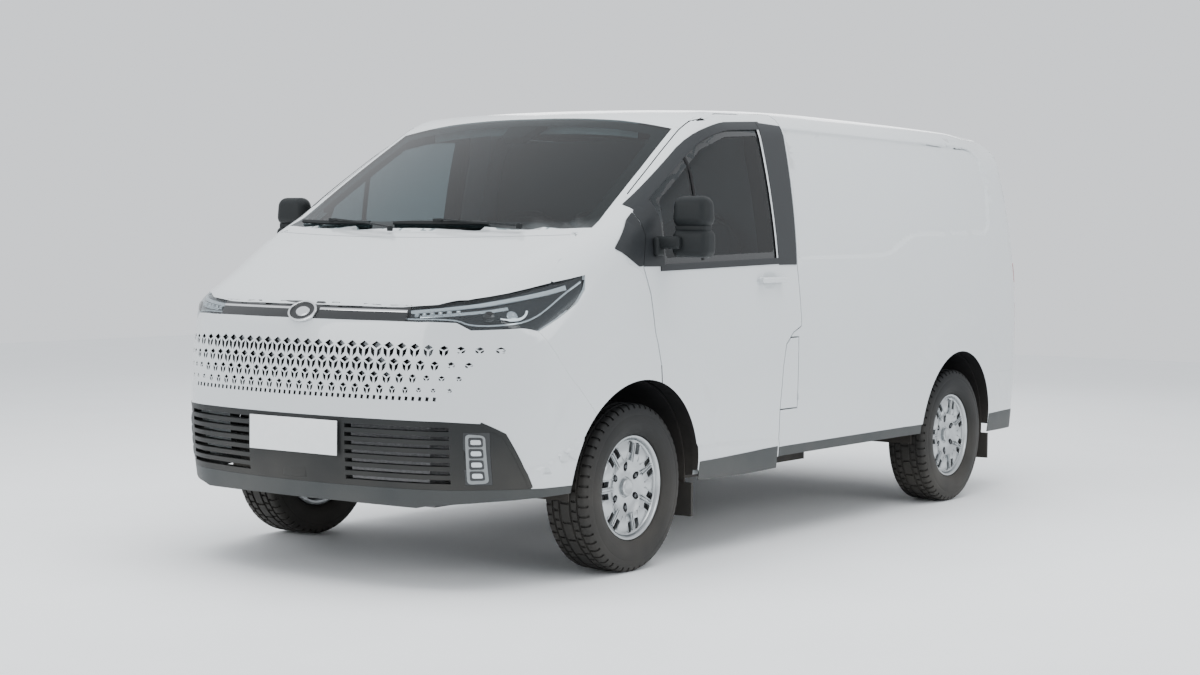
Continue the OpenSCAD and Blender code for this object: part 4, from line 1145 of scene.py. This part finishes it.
skinPlate("rear_door_recess_right", [(-70, 1250), (-800, 1250), (-770, 1700), (-740, 1790), (-70, 1790)],
          "rear", whitePaint, "rear_door_right", lift=2.5, thick=5, cell=50, soften=50)
skinRibbon("high_stop_lamp", [(-150, 1925), (150, 1925)], 20, "rear", lampRed, "body", lift=2,
           thick=5)
say("sides and back")

# tyres, turned from a profile, then grooved by sinking chosen faces of the tread
tyre = {"radius": 350, "rimHalf": 88, "steps": 208, "groove": 7.5}


def spun(name, profile, steps, capped=False):
    # turns a profile of radius and width, in millimetres, about the Z axis
    data = bpy.data.meshes.new(name)
    points = [(r / 1000, 0, w / 1000) for r, w in profile]
    data.from_pydata(points, [(i, i + 1) for i in range(len(points) - 1)], [])
    obj = linked(name, data)
    pick(obj)
    bpy.ops.object.mode_set(mode="EDIT")
    bpy.ops.mesh.select_all(action="SELECT")
    bpy.ops.mesh.spin(steps=steps, angle=2 * math.pi, center=(0, 0, 0), axis=(0, 0, 1))
    bpy.ops.mesh.select_all(action="SELECT")
    bpy.ops.mesh.remove_doubles(threshold=0.00005)
    if capped:
        mesh = bmesh.from_edit_mesh(obj.data)
        bmesh.ops.holes_fill(mesh, edges=[e for e in mesh.edges if e.is_boundary], sides=0)
        bmesh.update_edit_mesh(obj.data)
    bpy.ops.mesh.select_all(action="SELECT")
    bpy.ops.mesh.normals_make_consistent(inside=False)
    bpy.ops.object.mode_set(mode="OBJECT")
    return obj


def tyreMesh():
    radius = tyre["radius"]
    profile = [(206.6, 72), (213, 79), (218, 82), (220, 92), (224, 97), (228, 99), (232, 103), (251, 109.5),
               (266, 112),
               (268, 112.2), (272, 112.2), (278, 112.5), (300, 111.6), (303, 110.2), (306, 110.6),
               (316, 109.5), (330, 105),
               (340, 99.5), (346, 93), (348.5, 84), (349, 66), (341.5, 64.5), (341.5, 56.5), (349.6, 55),
               (349.8, 33),
               (342, 31.5), (342, 21.5), (349.9, 20), (350, 0)]
    profile = profile + [(r, -w) for r, w in reversed(profile[:-1])]
    deselect()
    obj = spun("tyre", profile, tyre["steps"])
    bpy.ops.object.mode_set(mode="EDIT")
    bpy.ops.mesh.select_all(action="DESELECT")
    mesh = bmesh.from_edit_mesh(obj.data)
    step = 2 * math.pi / tyre["steps"]
    for f in mesh.faces:
        c = f.calc_center_median()
        r, w = math.hypot(c.x, c.y) * 1000, c.z * 1000
        k = int(round((math.atan2(c.y, c.x) + math.pi) / step - 0.5))
        shoulder = abs(w) > 66 and r > 334
        middle = 56 > abs(w) > 33 and r > 347
        centre = abs(w) < 19 and r > 347
        if (shoulder and k % 4 == 0) or (middle and (k + 2) % 4 == 0) or (centre and k % 8 == 3):
            f.select = True
    bmesh.update_edit_mesh(obj.data)
    bpy.ops.mesh.extrude_region_shrink_fatten(TRANSFORM_OT_shrink_fatten={"value": -tyre["groove"] / 1000})
    bpy.ops.object.mode_set(mode="OBJECT")
    co = np.array([v.co[:] for v in obj.data.vertices])
    rr = np.hypot(co[:, 0], co[:, 1])
    scale = np.minimum(1, radius / 1000 / np.maximum(rr, 1e-6))
    for v, s in zip(obj.data.vertices, scale):
        v.co.x *= s
        v.co.y *= s
    return obj


def wheelPlace(obj, name, x, sign, body, replaced=()):
    # puts a wheel's piece, made about the Z axis with its outer face up, on its axle
    data = obj.data.copy()
    twin = linked(name, data)
    if sign > 0:
        turnIt = Matrix(((1, 0, 0), (0, 0, 1), (0, -1, 0))).to_4x4()
    else:
        turnIt = Matrix(((1, 0, 0), (0, 0, -1), (0, -1, 0))).to_4x4()
    data.transform(Matrix.Translation((x, sign * 0.8765, 0.350)) @ turnIt)
    if turnIt.determinant() < 0:
        data.flip_normals()
    return settle(twin, name, None, body, replaced)


tyreShape = smoothed(tyreMesh(), 30)
tyreShape.data.materials.append(rubber)

# wheels: a pressed disc with paired windows, ribs, nuts in oval holes and a plain cap
wheel = {"pairs": 7, "nuts": 6, "nutCircle": 85}


def roundAxle(obj, angle, radius, beside, height):
    # sets a piece out from the axle at an angle, a little beside its own spoke
    sine, cosine = math.sin(angle), math.cos(angle)
    obj.location = (radius * cosine - beside * sine, radius * sine + beside * cosine, height)
    obj.rotation_euler = (0, 0, angle)
    return placed(obj)


def rimMesh():
    half = tyre["rimHalf"]
    profile = [(197, -half), (216, -half), (217, -half + 7), (206, -half + 14), (206, half - 14),
               (216, half - 7), (217.2, half - 3),
               (216, half), (213, half + 0.5), (208, half - 1.5), (203, half - 8), (200, half - 22),
               (197.5, 74), (193, 70),
               (188, 71), (176, 74), (150, 75), (128, 72), (112, 66), (100, 60), (88, 57.5), (62, 56),
               (50, 58), (44, 58), (40, 54), (0.5, 54),
               (0.5, 36), (100, 38), (150, 52), (188, 58), (196, 56), (196, -60), (197, -half)]
    deselect()
    obj = spun("rim", profile, 168, capped=True)
    # broad spokes stand out between the windows
    for v in obj.data.vertices:
        r, w = math.hypot(v.co.x, v.co.y) * 1000, v.co.z * 1000
        if 100 < r < 194 and w > 60:
            a = math.atan2(v.co.y, v.co.x)
            wave = math.cos(a * wheel["pairs"] + math.pi)
            v.co.z += 0.0035 * wave * float(ease(np.array((r - 100) / 30))) * float(ease(np.array((194 - r) / 10)))
    cutters = []
    for i in range(wheel["pairs"]):
        a = 2 * math.pi * i / wheel["pairs"]
        for off in (-25, 25):
            cutter = block((0.048, 0.026, 0.09), (0, 0, 0), 0.004, 3)
            cutters.append(roundAxle(cutter, a, 0.166, off / 1000, 0.062))
    for i in range(wheel["nuts"]):
        a = 2 * math.pi * (i + 0.5) / wheel["nuts"]
        deselect()
        bpy.ops.mesh.primitive_cylinder_add(vertices=32, radius=0.5, depth=0.09)
        cutter = bpy.context.object
        cutter.scale = (0.040, 0.029, 1)
        cutters.append(roundAxle(cutter, a, wheel["nutCircle"] / 1000, 0, 0.062))
    tool = joined(cutters)
    cut = obj.modifiers.new("windows", "BOOLEAN")
    cut.operation = "DIFFERENCE"
    cut.solver = "EXACT"
    cut.object = tool
    applyAll(obj)
    bpy.data.objects.remove(tool)
    bevelled(obj, 0.0012, 2, 50)
    return smoothed(obj, 32)


def wheelTrim():
    parts = []
    for i in range(wheel["pairs"]):
        a = 2 * math.pi * i / wheel["pairs"]
        for off, long in ((-43, 0.070), (-6, 0.080), (6, 0.080), (43, 0.070)):
            rib = block((long, 0.0055, 0.008), (0, 0, 0), 0.0024, 3)
            parts.append(roundAxle(rib, a, 0.148, off / 1000, 0.0735))
    for i in range(wheel["nuts"]):
        a = 2 * math.pi * (i + 0.5) / wheel["nuts"]
        deselect()
        bpy.ops.mesh.primitive_cylinder_add(vertices=6, radius=0.0095, depth=0.022,
                                            location=(wheel["nutCircle"] / 1000 * math.cos(a),
                                                      wheel["nutCircle"] / 1000 * math.sin(a), 0.050))
        nut = bpy.context.object
        bevelled(nut, 0.0018, 2)
        placed(nut)
        parts.append(nut)
    deselect()
    bpy.ops.mesh.primitive_cylinder_add(vertices=48, radius=0.036, depth=0.024, location=(0, 0, 0.059))
    cap = bpy.context.object
    openTop(cap)
    bpy.ops.mesh.inset(thickness=0.007)
    bpy.ops.transform.translate(value=(0, 0, 0.003))
    bpy.ops.mesh.inset(thickness=0.004)
    bpy.ops.transform.translate(value=(0, 0, -0.002))
    bpy.ops.object.mode_set(mode="OBJECT")
    bevelled(cap, 0.0012, 2, 30)
    placed(cap)
    parts.append(cap)
    nuts = parts[wheel["pairs"] * 4:-1]
    for part in parts:
        part.data.materials.append(wheelSilver)
        part.data.materials.append(nutSteel)
    for nut in nuts:
        for f in nut.data.polygons:
            f.material_index = 1
    return smoothed(joined(parts), 32)


nutSteel = finish("wheel_nut_steel", (0.10, 0.105, 0.11), 0.4, metallic=0.8, speckle=0.2, speckleSize=200,
                  bump=0.1)
rimShape = rimMesh()
rimShape.data.materials.append(wheelSilver)
trimShape = wheelTrim()
for end, x in (("front", 1.5), ("rear", -1.5)):
    for side, sign in (("left", 1), ("right", -1)):
        body = "wheel_%s_%s" % (end, side)
        tyreNode, rimNode = "tyre_%s_%s" % (end, side), "rim_%s_%s" % (end, side)
        wheelPlace(tyreShape, tyreNode + "_tread", x, sign, body, (tyreNode,))
        wheelPlace(rimShape, rimNode + "_disc", x, sign, body, (rimNode,))
        wheelPlace(trimShape, rimNode + "_fittings", x, sign, body)
for shape in (tyreShape, rimShape, trimShape):
    bpy.data.objects.remove(shape)
say("wheels")

# wipers: posts, arms that taper, and blades that follow the glass
wiper = {"posts": (560, -90), "arm": 435, "blade": 500, "seats": (15, 9)}
for i, y in enumerate(wiper["posts"]):
    x = cowlLine(y, 24)
    end = y - wiper["arm"]
    parts = []
    deselect()
    bpy.ops.mesh.primitive_cylinder_add(vertices=32, radius=0.013, depth=0.022)
    post = bpy.context.object
    bevelled(post, 0.004, 3, 30)
    topZ = float(topAt(np.array(x), np.array(y)))
    post.location = (x / 1000, y / 1000, (topZ + wiper["seats"][i] + 13) / 1000)
    parts.append(placed(post))
    count = 10
    line = [(cowlLine(y + (end - y) * k / count, 24 - 60 * k / count),
             y + (end - y) * k / count) for k in range(count + 1)]
    rows = []
    for k, (px, py) in enumerate(line):
        skin = max(float(topAt(np.array(px), np.array(py))), 0)
        wide = 11 - 5 * k / count
        z = skin + 30 + 6 * math.sin(math.pi * k / count)
        rows.append([(px - wide, py, z - 3), (px - wide * 0.6, py, z + 3), (px + wide * 0.6, py, z + 3),
                     (px + wide, py, z - 3)])
    verts = [tuple(c / 1000 for c in p) for row in rows for p in row]
    faces = [(4 * k + j, 4 * k + (j + 1) % 4, 4 * k + 4 + (j + 1) % 4,
              4 * k + 4 + j) for k in range(count) for j in range(4)]
    faces += [(3, 2, 1, 0), (4 * count, 4 * count + 1, 4 * count + 2, 4 * count + 3)]
    parts.append(addMesh("arm", verts, faces))
    count = 24
    rows = []
    for k in range(count + 1):
        py = end + (k / count - 0.5) * wiper["blade"]
        px = cowlLine(py, -40)
        skin = float(topAt(np.array(px), np.array(py)))
        ends = 1 - abs(k / count - 0.5) ** 3 * 3
        rows.append([(px - 3, py, skin + 4), (px - 8, py, skin + 12), (px - 5, py, skin + 14 + 8 * ends),
                     (px + 5, py, skin + 12 + 8 * ends),
                     (px + 8, py, skin + 8), (px + 1, py, skin + 2)])
    verts = [tuple(c / 1000 for c in p) for row in rows for p in row]
    faces = [(6 * k + j, 6 * k + (j + 1) % 6, 6 * k + 6 + (j + 1) % 6,
              6 * k + 6 + j) for k in range(count) for j in range(6)]
    faces += [(5, 4, 3, 2, 1, 0), tuple(6 * count + j for j in range(6))]
    parts.append(addMesh("blade", verts, faces))
    clip = block((0.016, 0.050, 0.016), (cowlLine(end, -38) / 1000, end / 1000,
                                         (float(topAt(np.array(cowlLine(end, -38)),
                                                      np.array(end))) + 24) / 1000), 0.004, 3)
    parts.append(clip)
    whole = joined(parts)
    turnedOut(whole)
    whole.data.materials.append(blackPlastic)
    smoothed(whole)
    settle(whole, "wiper_%d" % (i + 1), None, "body", ("wipers",))
say("wipers")

# cab: dashboard, steering wheel and seats
low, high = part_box("dashboard")
dash = block((high[0] - low[0] - 0.004, high[1] - low[1] - 0.004, high[2] - low[2] - 0.004),
             tuple((low[i] + high[i]) / 2 for i in range(3)), 0.05, 6)
hood = block((0.20, 0.36, 0.085), (1.30, 0.43, 1.215), 0.035, 5, taper=(0.8, 0.85))
centre = block((0.05, 0.32, 0.19), (1.205, 0.0, 1.16), 0.015, 4, turn=(0, -0.15, 0))
dash = joined([dash, hood, centre])
dash.data.materials.append(cabPlastic)
settle(dash, "dashboard_moulding", None, "body", ("dashboard",))
displayPane = block((0.006, 0.26, 0.15), (1.172, 0.0, 1.168), 0.003, 3, turn=(0, -0.15, 0))
displayPane.data.materials.append(blackGloss)
settle(displayPane, "dashboard_display", None, "body")
deselect()
bpy.ops.mesh.primitive_torus_add(major_radius=0.178, minor_radius=0.0135, major_segments=72,
                                 minor_segments=18)
ringWheel = bpy.context.object
spokes = [ringWheel]
for a, long in ((0, 0.17), (math.pi, 0.17), (-math.pi / 2, 0.16)):
    spoke = block((long, 0.030, 0.012), (0, 0, 0), 0.005, 3)
    spoke.location = (long / 2 * math.cos(a), long / 2 * math.sin(a), -0.004)
    spoke.rotation_euler = (0, 0, a)
    placed(spoke)
    spokes.append(spoke)
spokes.append(block((0.13, 0.11, 0.03), (0, -0.005, 0.002), 0.012, 4))
steering = joined(spokes)
steering.data.transform(Matrix.Rotation(math.radians(90), 4, "Z"))
low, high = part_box("steering_wheel")
steering.data.transform(Matrix.Translation((1.125, 0.43, 1.150)) @ Matrix.Rotation(math.radians(-62), 4, "Y"))
deselect()
bpy.ops.mesh.primitive_cylinder_add(vertices=24, radius=0.028, depth=0.10, location=(0, 0, -0.055))
column = bpy.context.object
bevelled(column, 0.006, 3, 30)
placed(column)
column.data.transform(Matrix.Translation((1.125, 0.43, 1.150)) @ Matrix.Rotation(math.radians(-62), 4, "Y"))
steering = smoothed(joined([steering, column]))
steering.data.materials.clear()
steering.data.materials.append(cabPlastic)
settle(steering, "steering_wheel_rim", None, "body", ("steering_wheel",))

cloth = finish("seat_cloth", (0.060, 0.065, 0.072), 0.9, speckle=0.35, speckleSize=900, bump=0.5,
               bumpSize=1400, sheen=0.3)
seatSizes = {"driver": {"y": 0.43, "width": 0.50, "count": 1},
             "bench": {"y": -0.38, "width": 0.86, "count": 2}}


def cushion(name, size, at, turn):
    # a crowned pad: a soft block, pressed in along its seams
    deselect()
    bpy.ops.mesh.primitive_cube_add(size=1)
    obj = bpy.context.object
    bpy.ops.object.mode_set(mode="EDIT")
    bpy.ops.mesh.select_all(action="SELECT")
    bpy.ops.mesh.subdivide(number_cuts=11)
    bpy.ops.object.mode_set(mode="OBJECT")
    sx, sy, sz = size
    for v in obj.data.vertices:
        u, w, h = v.co * 2
        crown = (1 - abs(u) ** 4) * (1 - abs(w) ** 4)
        round3 = 1 - 0.10 * (abs(u) ** 6 + abs(w) ** 6) * (1 if abs(h) > 0.9 else 0)
        seam = math.exp(-((abs(w) - 0.62) / 0.05) ** 2) * 0.10 + math.exp(-((u - 0.1) / 0.05) ** 2) * 0.06
        v.co.x = u / 2 * sx * round3 * (1 - 0.05 * h * h)
        v.co.y = w / 2 * sy * round3 * (1 - 0.05 * h * h)
        v.co.z = h / 2 * sz * (0.72 + 0.28 * crown - (seam if h > 0.9 else 0))
    soft = obj.modifiers.new("soft", "SUBSURF")
    soft.levels = 2
    soft.render_levels = 2
    applyAll(obj)
    obj.rotation_euler = turn
    obj.location = at
    placed(obj)
    bpy.ops.object.shade_smooth()
    obj.data.materials.append(cloth)
    settle(obj, name, None, "body")
    return obj


firstSeat = True
for seatName, seat in seatSizes.items():
    wide = seat["width"] / seat["count"]
    for i in range(seat["count"]):
        y = seat["y"] + (i - (seat["count"] - 1) / 2) * wide
        base = cushion("%s_cushion_%d" % (seatName, i), (0.47, wide - 0.012, 0.128), (0.555, y, 0.876),
                       (0, 0, 0))
        cushion("%s_back_%d" % (seatName, i), (0.112, wide - 0.012, 0.545), (0.245, y, 1.215),
                (0, math.radians(-12), 0))
        cushion("%s_head_%d" % (seatName, i), (0.09, 0.25, 0.15), (0.175, y, 1.44), (0, math.radians(-12), 0))
        if firstSeat:
            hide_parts("seats")
            firstSeat = False
    box = block((0.40, seat["width"] - 0.06, 0.235), (0.50, seat["y"], 0.56 + 0.12), 0.02, 4)
    box.data.materials.append(cabPlastic)
    settle(box, seatName + "_seat_box", None, "body")
say("cab")


# finishes of the CAD nodes that stay as they are
nodeFinishes = (
    (floorGrey, ("floor",)),
    (blackGloss, ("grille_strip",)),
    (blackPlastic, ("lower_grille", "wipers", "mirror_left", "mirror_right",)),
    (greyPlastic, ("front_lip", "sill_trims",)),
    (lampSmoke, ("headlamps", "fog_lamps",)),
    (screenGlass, ("windscreen",)),
    (plateWhite, ("front_plate", "rear_plate",)),
    (sideGlass, ("door_glass_left", "door_glass_right",)),
    (lampRed, ("tail_lamps",)),
    (rubber, ("mud_flaps",)),
    (linerFelt, ("arch_liners",)),
    (cabGrey, ("bulkhead",)),
    (cabPlastic, ("dashboard", "steering_wheel", "seats",)),
    (steelDark, ("battery_pack", "front_suspension", "rear_axle",)),
    (castGrey, ("drive_unit", "knuckle_left", "knuckle_right",)),
)
plainFinish = {name: mat for mat, names in nodeFinishes for name in names}
for name, obj in nodes.items():
    mat = plainFinish.get(name, whitePaint)
    if name.startswith(("rim", "tyre")):
        mat = wheelSilver if name.startswith("rim") else rubber
    if obj.data.materials:
        for i in range(len(obj.data.materials)):
            obj.data.materials[i] = mat
    else:
        obj.data.materials.append(mat)
say("finished nodes")
